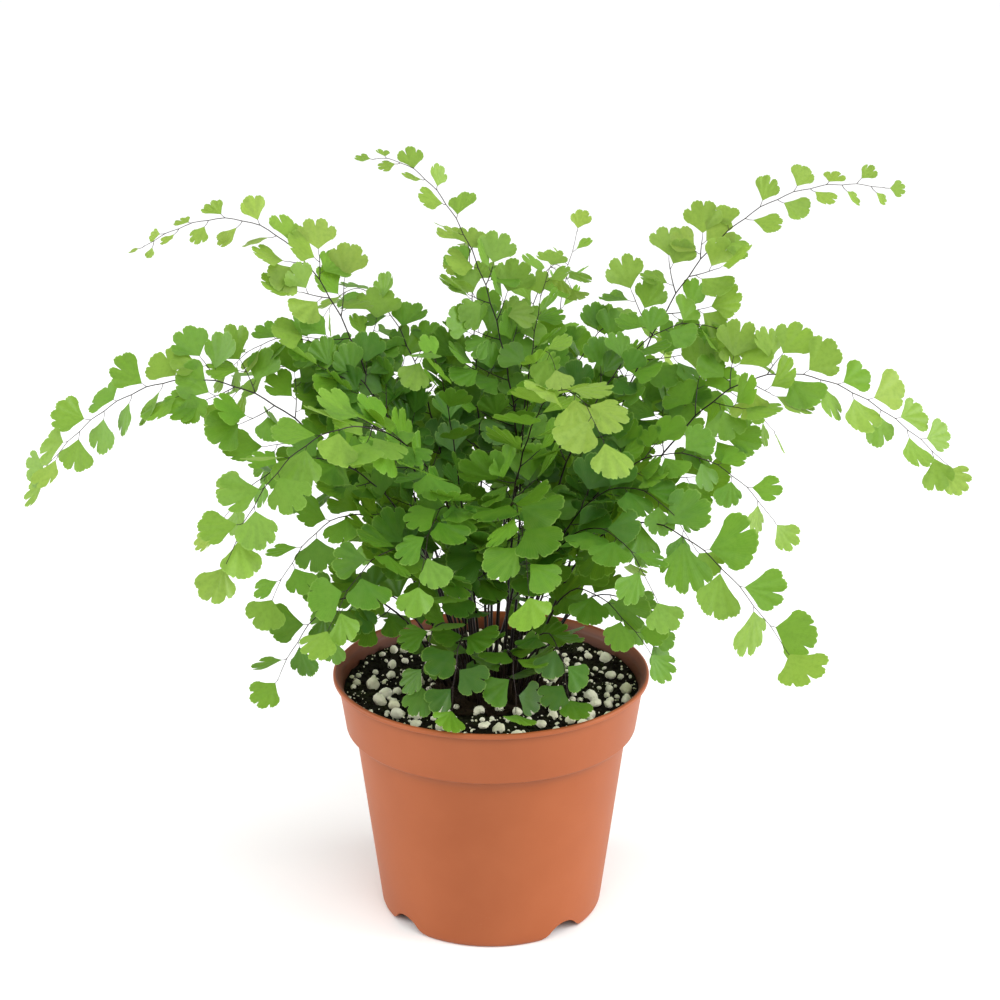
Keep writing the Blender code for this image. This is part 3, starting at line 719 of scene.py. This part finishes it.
# ---------------------------- leaflets
def leaflet_kind(number):
    """One fan-shaped leaflet of radius 1: (points, faces, across, out), stem end at the origin.

    The first EVEN_KINDS are broad and even-sided, for the ends of stalks; the others are narrower
    and longer on one side. Both have straight sides and a toothed outer edge, split into lobes.
    """
    draw = random.Random(LEAFLET_SEED + number)
    even = number < EVEN_KINDS
    spread = radians(draw.uniform(54.0, 66.0) if even else draw.uniform(44.0, 60.0))
    lobes = draw.choice((3, 4, 5)) if even else draw.choice((3, 3, 4, 4, 5))
    lobe_depth = draw.uniform(0.03, 0.07)
    corner = draw.uniform(0.22, 0.32) if even else draw.uniform(0.18, 0.36)
    teeth = lobes * draw.choice((3, 4, 4))
    tooth_depth = draw.uniform(0.024, 0.04)
    clefts = []
    for index in range(1, lobes):
        depth = draw.choice((0.02, 0.05, 0.1, 0.16, 0.26))
        clefts.append((index / lobes, depth, draw.uniform(0.014, 0.028)))
    lopsided = 0.0 if even else draw.uniform(0.06, 0.18)
    cup = draw.uniform(-0.1, 0.2)
    ripple = draw.uniform(0.02, 0.06)
    phase = draw.uniform(0.0, 6.0)
    points = [(0.0, 0.0, 0.0)]
    across = [0.5]
    out = [0.0]
    for ring in LEAFLET_RINGS:
        for step in range(LEAFLET_STEPS + 1):
            share = step / LEAFLET_STEPS
            swing = 2.0 * share - 1.0
            angle = spread * swing * (0.85 + 0.15 * ring)
            edge = 1.0 - corner * abs(swing) ** 2.1 - 0.12 * abs(swing) ** 18
            edge += lobe_depth * (abs(sin(pi * lobes * share)) ** 0.6 - 0.8)
            edge += tooth_depth * (abs(sin(pi * teeth * share)) ** 0.8 - 0.6)
            for place, cut, width in clefts:
                edge -= cut * exp(-abs(share - place) / width)
            edge *= 1.0 + lopsided * swing
            radius = ring * (1.0 + (edge - 1.0) * ring ** 1.6)
            bulge = sin(pi * lobes * share) ** 2
            lift = (cup + ripple * bulge) * radius ** 2
            lift += ripple * sin(5.0 * share + phase) * radius
            points.append((radius * cos(angle), radius * sin(angle), lift))
            across.append(share)
            out.append(ring)
    faces = [(0, step + 1, step + 2) for step in range(LEAFLET_STEPS)]
    for level in range(len(LEAFLET_RINGS) - 1):
        low = 1 + level * (LEAFLET_STEPS + 1)
        high = low + LEAFLET_STEPS + 1
        for step in range(LEAFLET_STEPS):
            faces.append((low + step, high + step, high + step + 1, low + step + 1))
    return np.array(points), faces, np.array(across), np.array(out)


class Frond:
    """One frond being dressed: its stalk's tubes and its leaflets."""

    def __init__(self, number, stalk, leaflet, kinds):
        self.number = number
        self.stalk = stalk
        self.leaflet = leaflet
        self.kinds = kinds
        self.draw = random.Random(FROND_SEED + number)
        self.keep = PLANE_HOLD
        self.petiole = LONG_PETIOLE if number in OPEN_FRONDS else PETIOLE
        self.size = leaflet * (HERO_RADIUS if number in FLAT_FRONDS else 1.0)
        self.youth = YOUNG_FRONDS.get(number, self.draw.uniform(0.35, 0.8))
        self.cool = self.draw.uniform(0.0, 0.7)
        self.stems = Soup("stalk_thin")
        self.leaves = Soup("leaf_age", "leaf_tone", "leaf_across", "leaf_out")

    def tilt(self, axis, spread, middle=0.0):
        """A random turn about an axis, with the spread and the middle in degrees."""
        return rotation(self.draw.gauss(middle, spread), axis)

    def knots(self, plan):
        """The stalk's line with a slight kink at every leaf segment."""
        stalk = self.stalk
        first = plan[0][0]
        bare = max(LEAST_BARE, int(first / BARE_SPACING))
        stations = [(first * step / bare, 0.0) for step in range(bare)]
        stations += [(length, sign) for length, sign, reach, scale in plan]
        path = [stalk.at(0.0) - stalk.frame(0.0)[0] * STALK_SINK]
        path += [stalk.at(length) + stalk.frame(length)[1] * sign * KINK for length, sign in stations]
        radii = [stalk.radius(length) for length, sign in [(0.0, 0.0)] + stations]
        return path, radii

    def turned_to_light(self, face, spot, direction):
        """The side that a leaflet shows: between its blade's plane and the light."""
        if face.z < 0.0:
            face = -face
        outward = Vector((spot.x, spot.y, 0.0)) / OUTWARD_REACH
        level = Vector((0.0, LEVEL_TOP * clamped((spot.z / LEVEL_HEIGHT - 1.0) * LEVEL_GAIN), 0.0))
        light = (LIGHT_SIDE + outward + level).normalized()
        normal = face * self.keep + light * (1.0 - self.keep)
        normal = (normal - direction * normal.dot(direction)).normalized()
        return self.tilt(direction, LEAFLET_TILT) @ normal

    def leaflet_age_light_and_shade(self, spot, age):
        """Age of a leaflet at the spot, with painted shade and painted light: darker in the shaded inside
        and low down, lighter at the top.
        """
        inside = 1.0 - Vector((spot.x, spot.y, 0.8 * (spot.z - SHADE_HEIGHT))).length / SHADE_REACH
        # painted shade in the plant's inside, painted light at the top
        age += SHADE_DARKENING * max(0.0, inside) - max(0.0, spot.z / LIT_TOP_HEIGHT - 1.0)
        # painted shade low down
        age += LOW_SHADE_DARKENING * clamped((LOW_SHADE_HEIGHT - spot.z) / (LOW_SHADE_HEIGHT - LOWEST_LEAF))
        return clamped(age + self.draw.gauss(0.0, AGE_SPREAD))

    def add_leaflet(self, spot, direction, face, size, age, even=False):
        """A petiole from the spot and a blade at its end, kept off the pot and in the box."""
        direction = (self.tilt(direction.cross(face), LEAFLET_DROOP) @ direction).normalized()
        normal = self.turned_to_light(face, spot, direction)
        number = self.draw.randrange(EVEN_KINDS) if even else self.draw.randrange(EVEN_KINDS, LEAFLET_KINDS)
        points, faces, across, out = self.kinds[number]
        flip = self.draw.choice((1.0, -1.0))
        lift = self.draw.uniform(0.6, 1.4)
        size *= self.draw.uniform(0.9, 1.08)
        stem = self.petiole * self.draw.uniform(0.8, 1.2)
        for turn in LEAFLET_RISES:
            rise = rotation(turn, direction.cross(Vector((0.0, 0.0, 1.0))))
            tipped = rise @ direction
            shown = rise @ normal
            start = spot + tipped * stem
            wide = shown.cross(tipped).normalized()
            basis = np.array((tipped, wide * flip, shown * lift))
            blade = points * size @ basis + np.array(start)
            if clears_pot(blade):
                break
        else:
            return
        low = np.array(CAD_LOW) / MM + BOX_MARGIN
        high = np.array(CAD_HIGH) / MM - BOX_MARGIN
        push = np.maximum(low - blade.min(0), 0.0) - np.maximum(blade.max(0) - high, 0.0)
        blade += push
        start += Vector(push)
        tone = clamped(self.cool + self.draw.gauss(0.0, TONE_SPREAD))
        # the leaflet's age with painted shade and painted light for its spot
        age = self.leaflet_age_light_and_shade(spot, age)
        self.leaves.add(blade, faces, leaf_age=age, leaf_tone=tone, leaf_across=across, leaf_out=out)
        middle = spot.lerp(start, 0.5) - shown * 0.25
        radii = [PETIOLE_RADIUS * 1.2, PETIOLE_RADIUS, PETIOLE_RADIUS * 0.8]
        self.stems.add_tube([spot, middle, start + tipped * 0.4], radii, 5, stalk_thin=0.8)

    def add_segment(self, length, sign, reach, scale, share):
        """One leaf segment: a single leaflet, or a small branch of alternate leaflets."""
        stalk = self.stalk
        along, side, face = stalk.frame(length)
        spot = stalk.at(length) + side * sign * KINK
        age = self.youth * (1.0 - 0.7 * share) + SEGMENT_AGE
        if self.number in FLAT_FRONDS:
            self.keep = PLANE_HOLD + FLAT_HOLD * share
        if sign == 0.0:
            self.add_leaflet(spot, along, face, self.size * scale, age - SEGMENT_AGE, even=True)
            return
        turn = radians(SEGMENT_ANGLE + SEGMENT_SWEEP * share + self.draw.gauss(0.0, 6.0))
        outward = side * sign * cos(turn) + along * sin(turn)
        outward = (self.tilt(outward.cross(face), 7.0, -6.0) @ outward).normalized()
        if reach <= SINGLE_REACH * self.leaflet:
            self.add_leaflet(spot, outward, face, self.size * scale, age)
            return
        run = reach - 0.9 * self.leaflet
        end = spot + outward * run + along * 0.25 * run * 0.6
        middle = spot + outward * run * 0.5
        branch = [bowed(spot, middle, end, part) for part in BRANCH_PARTS]
        radii = [RACHILLA_RADIUS * (1.15 - 0.45 * part) for part in BRANCH_PARTS]
        self.stems.add_tube(branch, radii, 6, stalk_thin=0.55)
        count = max(1, round((run - 0.3 * self.leaflet) / (BRANCH_PITCH * self.leaflet)) + 1)
        heading = (end - spot).normalized()
        for step in range(count):
            point = bowed(spot, middle, end, (step + 0.55) / count)
            hand = -sign if step % 2 else sign
            swing = rotation(hand * self.draw.uniform(42.0, 62.0), face)
            self.add_leaflet(point, swing @ heading, face, self.size * self.draw.uniform(0.8, 0.98), age)
        self.add_leaflet(end, (end - middle).normalized(), face, self.size, age - 0.08, even=True)

    def dress(self, bare_share, longest, stem_finish, leaf_finish):
        tip_size = TIP_SIZES.get(self.number, TIP_SIZE)
        pitch = SEGMENT_PITCHES.get(self.number, SEGMENT_PITCH)
        plan = segment_plan(self.stalk, bare_share, longest, self.leaflet, tip_size, pitch)
        path, radii = self.knots(plan)
        path = smooth(path, CURVE_PULL)
        thin = np.linspace(0.0, 1.0, len(path) * STALK_SIDES)
        self.stems.add_tube(path, smooth(radii, 0.0), STALK_SIDES, stalk_thin=thin)
        first = plan[0][0]
        for length, sign, reach, scale in plan:
            share = (length - first) / (self.stalk.total - first)
            self.add_segment(length, sign, reach, scale, share)
        node = f"frond_{self.number:02d}"
        self.stems.piece(node + "_stems", stem_finish, "fern_leaf", node)
        self.leaves.piece(node + "_leaflets", leaf_finish, "fern_leaf")


def smooth(values, pull):
    """The values with one added between each two: halfway, or by a pull on a curve through all."""
    padded = [values[0], *values, values[-1]]
    result = []
    for before, first, second, after in zip(padded, values, values[1:], padded[3:]):
        result += [first, (first + second) * (0.5 + pull) - (before + after) * pull]
    return result + [values[-1]]


def clears_pot(points):
    """Whether the points are well over the mix and, where they are low, inside the rim."""
    x, y, z = points.T
    reach, height = RIM_ZONE
    return z.min() >= LOWEST_LEAF and (np.hypot(x, y)[z < height] <= reach).all()


def build_fronds():
    stem_finish = stalk_material()
    leaf_finish = leaf_material()
    kinds = [leaflet_kind(number) for number in range(LEAFLET_KINDS)]
    rows = list(LONG_FRONDS)
    for bearing, reach, crest, tip_height, longest, roll, leaflet in ARCHING_FRONDS:
        route = arching_route(bearing, reach, crest, tip_height)
        low = crest < LOW_CREST or reach < SHORT_REACH
        bare_share = LOW_BARE_SHARE if low else ARCHING_BARE_SHARE
        rows.append((*route, bare_share, longest, roll, leaflet))
    stalks = []
    for base, rise, arch, tip, bare_share, longest, roll, leaflet in rows:
        stalks.append(clear_stalk(base, rise, arch, tip, roll, stalks))
        frond = Frond(len(stalks), stalks[-1], leaflet, kinds)
        frond.dress(bare_share, longest, stem_finish, leaf_finish)


# ---------------------------- pot
def wall_radius(height):
    """Outer radius of the pot's wall at a height below the lip."""
    return float(np.interp(height, WALL_HEIGHTS, WALL_RADII))


def pot_sections():
    """The pot's section in two runs of (radius, height) points: up the inside, then down the outside."""
    floor_top = FLOOR_Z + FLOOR_THICKNESS
    lip_under = POT_HEIGHT - LIP_THICKNESS
    foot_inner = FOOT_BOTTOM_RADIUS - FOOT_WIDTH
    inside = [
        (0.0, floor_top),
        (wall_radius(floor_top) - WALL, floor_top),
        (SHOULDER_RADIUS - WALL, SHOULDER_Z + 1.0),
        (BAND_FOOT_RADIUS - WALL, BAND_FOOT_Z + 1.6),
        (SOIL_RADIUS, SOIL_EDGE_Z),
        (BAND_TOP_RADIUS - WALL, lip_under - 1.0),
        (LIP_RADIUS - 1.7, POT_HEIGHT - 0.4),
        (LIP_RADIUS - 0.9, POT_HEIGHT),
    ]
    outside = [
        (LIP_RADIUS - 0.9, POT_HEIGHT),
        (LIP_RADIUS, POT_HEIGHT - 0.3),
        (LIP_RADIUS, POT_HEIGHT - 1.7),
        (LIP_RADIUS - 0.6, lip_under),
        (BAND_TOP_RADIUS + 0.1, lip_under - 0.3),
        (BAND_FOOT_RADIUS, BAND_FOOT_Z),
        (BAND_FOOT_RADIUS - 0.7, BAND_FOOT_Z - 0.7),
        (SHOULDER_RADIUS + 0.9, BAND_FOOT_Z - 1.5),
        (SHOULDER_RADIUS - 0.1, BAND_FOOT_Z - 4.0),
        *[(wall_radius(height), height) for height in (SHOULDER_Z - 4.0, 40.0, 6.0, 1.6)],
        (FOOT_BOTTOM_RADIUS, 0.0),
        (foot_inner, 0.0),
        (foot_inner, FLOOR_Z),
        (0.0, FLOOR_Z),
    ]
    return rounded(inside, INSIDE_ROUNDING), rounded(outside, OUTSIDE_ROUNDING)


def arch_outline():
    """Outline of a drainage arch, as (across, height) points: round at the top, flared at the foot."""
    side = []
    for step in range(ARCH_STEPS + 1):
        height = NOTCH_RISE * cos(0.5 * pi * step / ARCH_STEPS)
        half = sqrt(NOTCH_HALF_WIDTH ** 2 - (height + NOTCH_HALF_WIDTH - NOTCH_RISE) ** 2)
        flare = NOTCH_FLARE * max(0.0, 1.0 - height / NOTCH_FLARE_RISE) ** 2
        side.append((half + flare, height))
    side.append((side[-1][0], -CUTTER_UNDER))
    return side + [(-across, height) for across, height in reversed(side[1:])]


def drainage_cutter(angle):
    """An arch-shaped prism that opens the foot ring and the edge of the floor."""
    outline = arch_outline()
    vertices = []
    for radius in (FOOT_BOTTOM_RADIUS - FOOT_WIDTH - CUTTER_INSIDE, FOOT_RADIUS + CUTTER_OUTSIDE):
        for across, height in outline:
            x = radius * cos(angle) - across * sin(angle)
            y = radius * sin(angle) + across * cos(angle)
            vertices.append((x, y, height))
    count = len(outline)
    faces = [tuple(range(count)), tuple(reversed(range(count, 2 * count)))]
    for step in range(count):
        following = (step + 1) % count
        faces.append((step, step + count, following + count, following))
    return mesh_object("drainage_cutter", vertices, faces)


def cut_arches(pot):
    """Cut the drainage arches out of the pot."""
    cutters = []
    for index in range(NOTCH_COUNT):
        cutter = drainage_cutter(radians(NOTCH_FIRST_ANGLE + 360.0 / NOTCH_COUNT * index))
        cut = pot.modifiers.new("Drainage", "BOOLEAN")
        cut.operation = "DIFFERENCE"
        cut.solver = "EXACT"
        cut.object = cutter
        cutters.append(cutter)
    graph = bpy.context.evaluated_depsgraph_get()
    final = bpy.data.meshes.new_from_object(pot.evaluated_get(graph), depsgraph=graph)
    pot.modifiers.clear()
    pot.data = final
    for cutter in cutters:
        bpy.data.objects.remove(cutter, do_unlink=True)


def build_pot():
    """The pot, with an attribute for the soil stain and painted shade on its inside, which fade towards the
    rim.
    """
    inside, outside = pot_sections()
    section = inside + outside[1:]
    vertices, faces = revolve(section, POT_STEPS)
    faces = [tuple(reversed(face)) for face in faces]
    # Soil stain and painted shade on the inside, less of it towards the rim
    stain = []
    for index, (radius, height) in enumerate(section):
        faded = RIM_FADE * max(0.0, (height - SOIL_EDGE_Z) / (POT_HEIGHT - SOIL_EDGE_Z))
        stain += [1.0 - faded if index < len(inside) else 0.0] * (POT_STEPS if radius else 1)
    pot = mesh_object("nursery_pot", vertices, faces, plastic_material(), {"inside_stain_and_shade": stain})
    cut_arches(pot)
    declare(pot, "pot_plastic", "pot")
    pot.data.set_sharp_from_angle(angle=radians(SHARP_ANGLE))


# ---------------------------- potting mix
def lumps(point, scale):
    """Fractal noise at a point in millimetres, about -1 to 1."""
    return noise.fractal(Vector(point) / scale, 0.9, 2.1, 4)


def soil_height(x, y):
    """Height of the mix's uneven surface."""
    share = max(0.0, (hypot(x, y) - SOIL_LEVEL_RADIUS) / (SOIL_RADIUS - SOIL_LEVEL_RADIUS))
    level = SOIL_TOP_Z - SOIL_SINK + SOIL_EDGE_RISE * share ** 3
    coarse = lumps((x, y, 0.0), 7.0)
    fine = lumps((x, y, 9.0), 1.8)
    return level + SOIL_ROUGHNESS * coarse + 0.35 * SOIL_ROUGHNESS * fine


def build_potting_mix():
    """The mix: a crumbled surface, and the plain block under it that fills the pot."""
    finish = peat_material()
    outer = SOIL_RADIUS - SURFACE_GAP
    floor = FLOOR_Z + FLOOR_THICKNESS + BLOCK_GAP
    profile = [(outer * ring / SOIL_RINGS, SOIL_TOP_Z) for ring in range(SOIL_RINGS + 1)]
    for height in (SOIL_EDGE_Z - 4.0, BAND_FOOT_Z + 1.0, SHOULDER_Z, floor):
        profile.append((wall_radius(height) - WALL - BLOCK_GAP, height))
    profile.append((0.0, floor))
    vertices, faces = revolve(profile, SOIL_STEPS)
    top = 1 + SOIL_RINGS * SOIL_STEPS
    vertices[:top] = [(x, y, soil_height(x, y)) for x, y, level in vertices[:top]]
    declare(mesh_object("potting_mix", vertices, faces, finish), "peat_mix", "potting_mix")
    build_crumbs(finish)


def ball(detail):
    """Points and faces of a ball of radius 1."""
    graph = bmesh.new()
    bmesh.ops.create_icosphere(graph, subdivisions=detail, radius=1.0)
    points = np.array([vertex.co[:] for vertex in graph.verts])
    faces = [tuple(vertex.index for vertex in face.verts) for face in graph.faces]
    graph.free()
    return points, faces


def lumpy(points, shift, amount):
    """The ball's points pushed in and out into an irregular grain."""
    grown = []
    for point in points:
        spot = Vector(point) * 1.3 + shift
        swell = noise.noise(spot) + 0.5 * noise.noise(spot * 2.3)
        grown.append(point * (1.0 + amount * swell))
    return np.array(grown)


def drawn_vector(draw, *spreads):
    return Vector([draw.gauss(0.0, spread) for spread in spreads])


class Grains:
    """A set of irregular grains to choose from."""

    def __init__(self, draw, detail, count, amount):
        points, self.faces = ball(detail)
        self.shapes = []
        for index in range(count):
            shift = Vector([draw.uniform(-50, 50) for axis in "xyz"])
            stretch = np.array((1.0, draw.uniform(0.66, 1.0), draw.uniform(0.66, 0.95)))
            self.shapes.append(lumpy(points, shift, amount) * stretch)

    def turned(self, draw, size):
        """Points of one of the grains, turned at random, with its half length."""
        shape = draw.choice(self.shapes) * size
        axis = drawn_vector(draw, 1.0, 1.0, 1.0).normalized()
        return shape @ np.array(Matrix.Rotation(draw.uniform(0.0, 6.28), 3, axis))


def on_mix(x, y, rise):
    """A point at a height over the surface of the mix."""
    return np.array((x, y, soil_height(x, y) + rise))


def scattered(draw, reach, nearest=0.0, furthest=1.0):
    """A random place on a disc, between two shares of its area."""
    radius = reach * sqrt(draw.uniform(nearest, furthest))
    angle = draw.uniform(0.0, 2.0 * pi)
    return radius * cos(angle), radius * sin(angle)


def drawn_size(draw, smallest, largest, rarity):
    return smallest + (largest - smallest) * draw.random() ** rarity


def build_crumbs(finish):
    """Loose crumbs and root ends over the surface and up against the pot's wall."""
    draw = random.Random(CRUMB_SEED)
    crumbs = Grains(draw, 1, 10, 0.5)
    soup = Soup()
    outer = SOIL_RADIUS - CRUMB_MARGIN
    for index in range(CRUMB_COUNT):
        x, y = scattered(draw, outer, 0.12)
        size = drawn_size(draw, *CRUMB_SIZES)
        soup.add(crumbs.turned(draw, size) + on_mix(x, y, 0.25 * size), crumbs.faces)
    for index in range(ROOT_COUNT):
        middle_x, middle_y = scattered(draw, outer, 0.2, 0.95)
        heading = draw.uniform(0.0, 2.0 * pi)
        length = draw.uniform(*ROOT_LENGTHS)
        path = []
        for share in (-0.5, -0.25, 0.0, 0.25, 0.5):
            x = middle_x + cos(heading) * length * share
            y = middle_y + sin(heading) * length * share
            heading += draw.gauss(0.0, 0.25)
            limit = min(1.0, outer / max(1.0, hypot(x, y)))
            path.append(on_mix(x * limit, y * limit, 0.5))
        soup.add_tube(path, ROOT_RADII, 4)
    soup.piece("peat_crumbs", finish, "peat_mix")


def build_large_grains(grains, finish):
    """Eight large grains on the CAD's grains. Returns (x, y, half length) of each."""
    placed = []
    for index in range(LARGE_COUNT):
        node = f"perlite_grain_{index + 1}"
        low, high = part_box(node)
        middle = (low + high) / 2 / MM
        half = min((high - low)[:2]) / 2 / MM
        soup = Soup("grain_tone")
        shape = grains.shapes[index] * half * 1.02
        soup.add(shape + np.array(middle), grains.faces, grain_tone=0.15)
        soup.piece(f"large_{node}", finish, "perlite", node)
        placed.append((middle.x, middle.y, half))
    return placed


def build_perlite():
    """Puffed grains: large ones, then a bed of smaller ones and specks that keep off them."""
    finish = perlite_material()
    draw = random.Random(PERLITE_SEED)
    small = Grains(draw, 2, 12, 0.2)
    large = Grains(draw, 3, 12, 0.2)
    placed = build_large_grains(large, finish)
    bed = Soup("grain_tone")
    outer = SOIL_RADIUS - GRAIN_MARGIN
    tries = 0
    while len(placed) < PERLITE_COUNT and tries < GRAIN_TRIES * PERLITE_COUNT:
        tries += 1
        size = drawn_size(draw, *PERLITE_SIZES)
        x, y = scattered(draw, outer - size, 0.14)
        # grains lie in patches, and more of them by the wall
        chance = 0.3 + 1.2 * noise.noise(Vector((x, y, 30.0)) / 14.0)
        chance += 0.35 * hypot(x, y) / outer + 0.08 * x / outer
        if draw.random() > chance:
            continue
        if any(hypot(x - a, y - b) < 1.08 * (size + c) for a, b, c in placed):
            continue
        placed.append((x, y, size))
        grains = large if size > COARSE_SIZE else small
        shape = grains.turned(draw, size) + on_mix(x, y, size * draw.uniform(0.25, 0.6))
        bed.add(shape, grains.faces, grain_tone=max(0.0, draw.gauss(0.0, 0.25)))
    specks = Grains(draw, 1, 8, 0.3)
    for index in range(SPECK_COUNT):
        x, y = scattered(draw, outer, 0.1)
        size = draw.uniform(*SPECK_SIZES)
        if any(hypot(x - a, y - b) < 0.9 * c + size for a, b, c in placed):
            continue
        shape = specks.turned(draw, size) + on_mix(x, y, 0.6 * size)
        bed.add(shape, specks.faces, grain_tone=draw.uniform(0.0, 0.7))
    bed.piece("perlite_bed", finish, "perlite")


def crown_foot(draw, reach, sink):
    """A random point under the crown's top."""
    x, y = scattered(draw, reach)
    return Vector((x, y, crown_top(hypot(x, y)) - sink))


def build_crown():
    """The crown: a lumpy clump of rhizome with dead stalk stubs and brown hairs."""
    draw = random.Random(CROWN_SEED)
    soup = Soup()
    points, faces = ball(5)
    dome = []
    for x, y, z in points:
        bump = 1.0 + 0.16 * lumps((x * 25, y * 25, z * 25), 6.0)
        radius = CROWN_RADIUS * 0.96 * bump
        rise = (CROWN_RISE + 1.2) * bump if z > 0 else 2.0
        dome.append((x * radius, y * radius, SOIL_TOP_Z - 1.5 + z * rise))
    soup.add(dome, faces)
    for index in range(STUB_COUNT):
        foot = crown_foot(draw, CROWN_RADIUS * 0.9, 2.5)
        lean = Vector((draw.gauss(0.02 * foot.x, 0.25), draw.gauss(0.02 * foot.y, 0.25), 1.0)).normalized()
        length = draw.uniform(*STUB_LENGTHS)
        path = [foot, foot + lean * length * 0.5, foot + lean * length]
        soup.add_tube(path, [0.9, 0.7, draw.uniform(0.45, 0.65)], 7)
    for index in range(HAIR_COUNT):
        foot = crown_foot(draw, CROWN_RADIUS, 1.0)
        lean = Vector((draw.gauss(0, 0.7), draw.gauss(0, 0.7), draw.uniform(0.5, 1.4))).normalized()
        curl = drawn_vector(draw, 1.0, 1.0, 0.6)
        length = draw.uniform(*HAIR_LENGTHS)
        path = [foot, foot + lean * length * 0.5 + curl * 0.3, foot + lean * length + curl * 1.2]
        soup.add_tube(path, HAIR_RADII, 3)
    soup.piece("rhizome_crown_fibres", fibre_material(), "crown_fibre", "rhizome_crown")


# ---------------------------- stage
def add_light(name, kind, power, facing, place=(0.0, 0.0, 0.0)):
    """A light at a place that shines along a direction."""
    data = bpy.data.lights.new(name, kind)
    data.energy = power
    light = new_object(name, data)
    light.location = place
    light.rotation_euler = facing.to_track_quat("-Z", "Y").to_euler()
    return light


def studio_lights():
    """A lamp on each side and a broad, even key light: soft-edged shadows and no fall-off."""
    lights = []
    for name, place, target, size, power in LIGHTS:
        light = add_light(name, "AREA", power, Vector(target) - Vector(place), place)
        light.data.shape = "DISK"
        light.data.size = size
        lights.append(light)
    key = add_light("key", "SUN", KEY_STRENGTH, -Vector(KEY_FROM))
    key.data.angle = radians(KEY_SOFTNESS)
    return lights + [key]


def build_stage():
    """Pale floor, soft studio light and the camera at the photograph's angle."""
    scene = bpy.context.scene
    corners = [(x * FLOOR_REACH, y * FLOOR_REACH, 0.0) for x, y in ((-1, -1), (1, -1), (1, 1), (-1, 1))]
    floor = mesh_object("floor", corners, [(0, 1, 2, 3)], Shader("floor").finish(FLOOR_COLOUR, 0.9))
    world = bpy.data.worlds.new("studio")
    world.use_nodes = True
    sky = world.node_tree.nodes["Background"]
    sky.inputs["Color"].default_value = (1.0, 1.0, 1.0, 1.0)
    sky.inputs["Strength"].default_value = SKY_STRENGTH
    scene.world = world
    studio_lights()
    camera_data = bpy.data.cameras.new("camera")
    camera_data.lens = CAMERA_LENS
    camera_data.sensor_width = CAMERA_SENSOR
    scene.camera = new_object("camera", camera_data)
    scene.camera.location = CAMERA_PLACE
    scene.camera.rotation_euler = (radians(90.0 - CAMERA_DIP), 0.0, 0.0)
    scene.view_settings.view_transform = "Standard"


build_pot()
build_potting_mix()
build_crown()
build_perlite()
build_fronds()
build_stage()
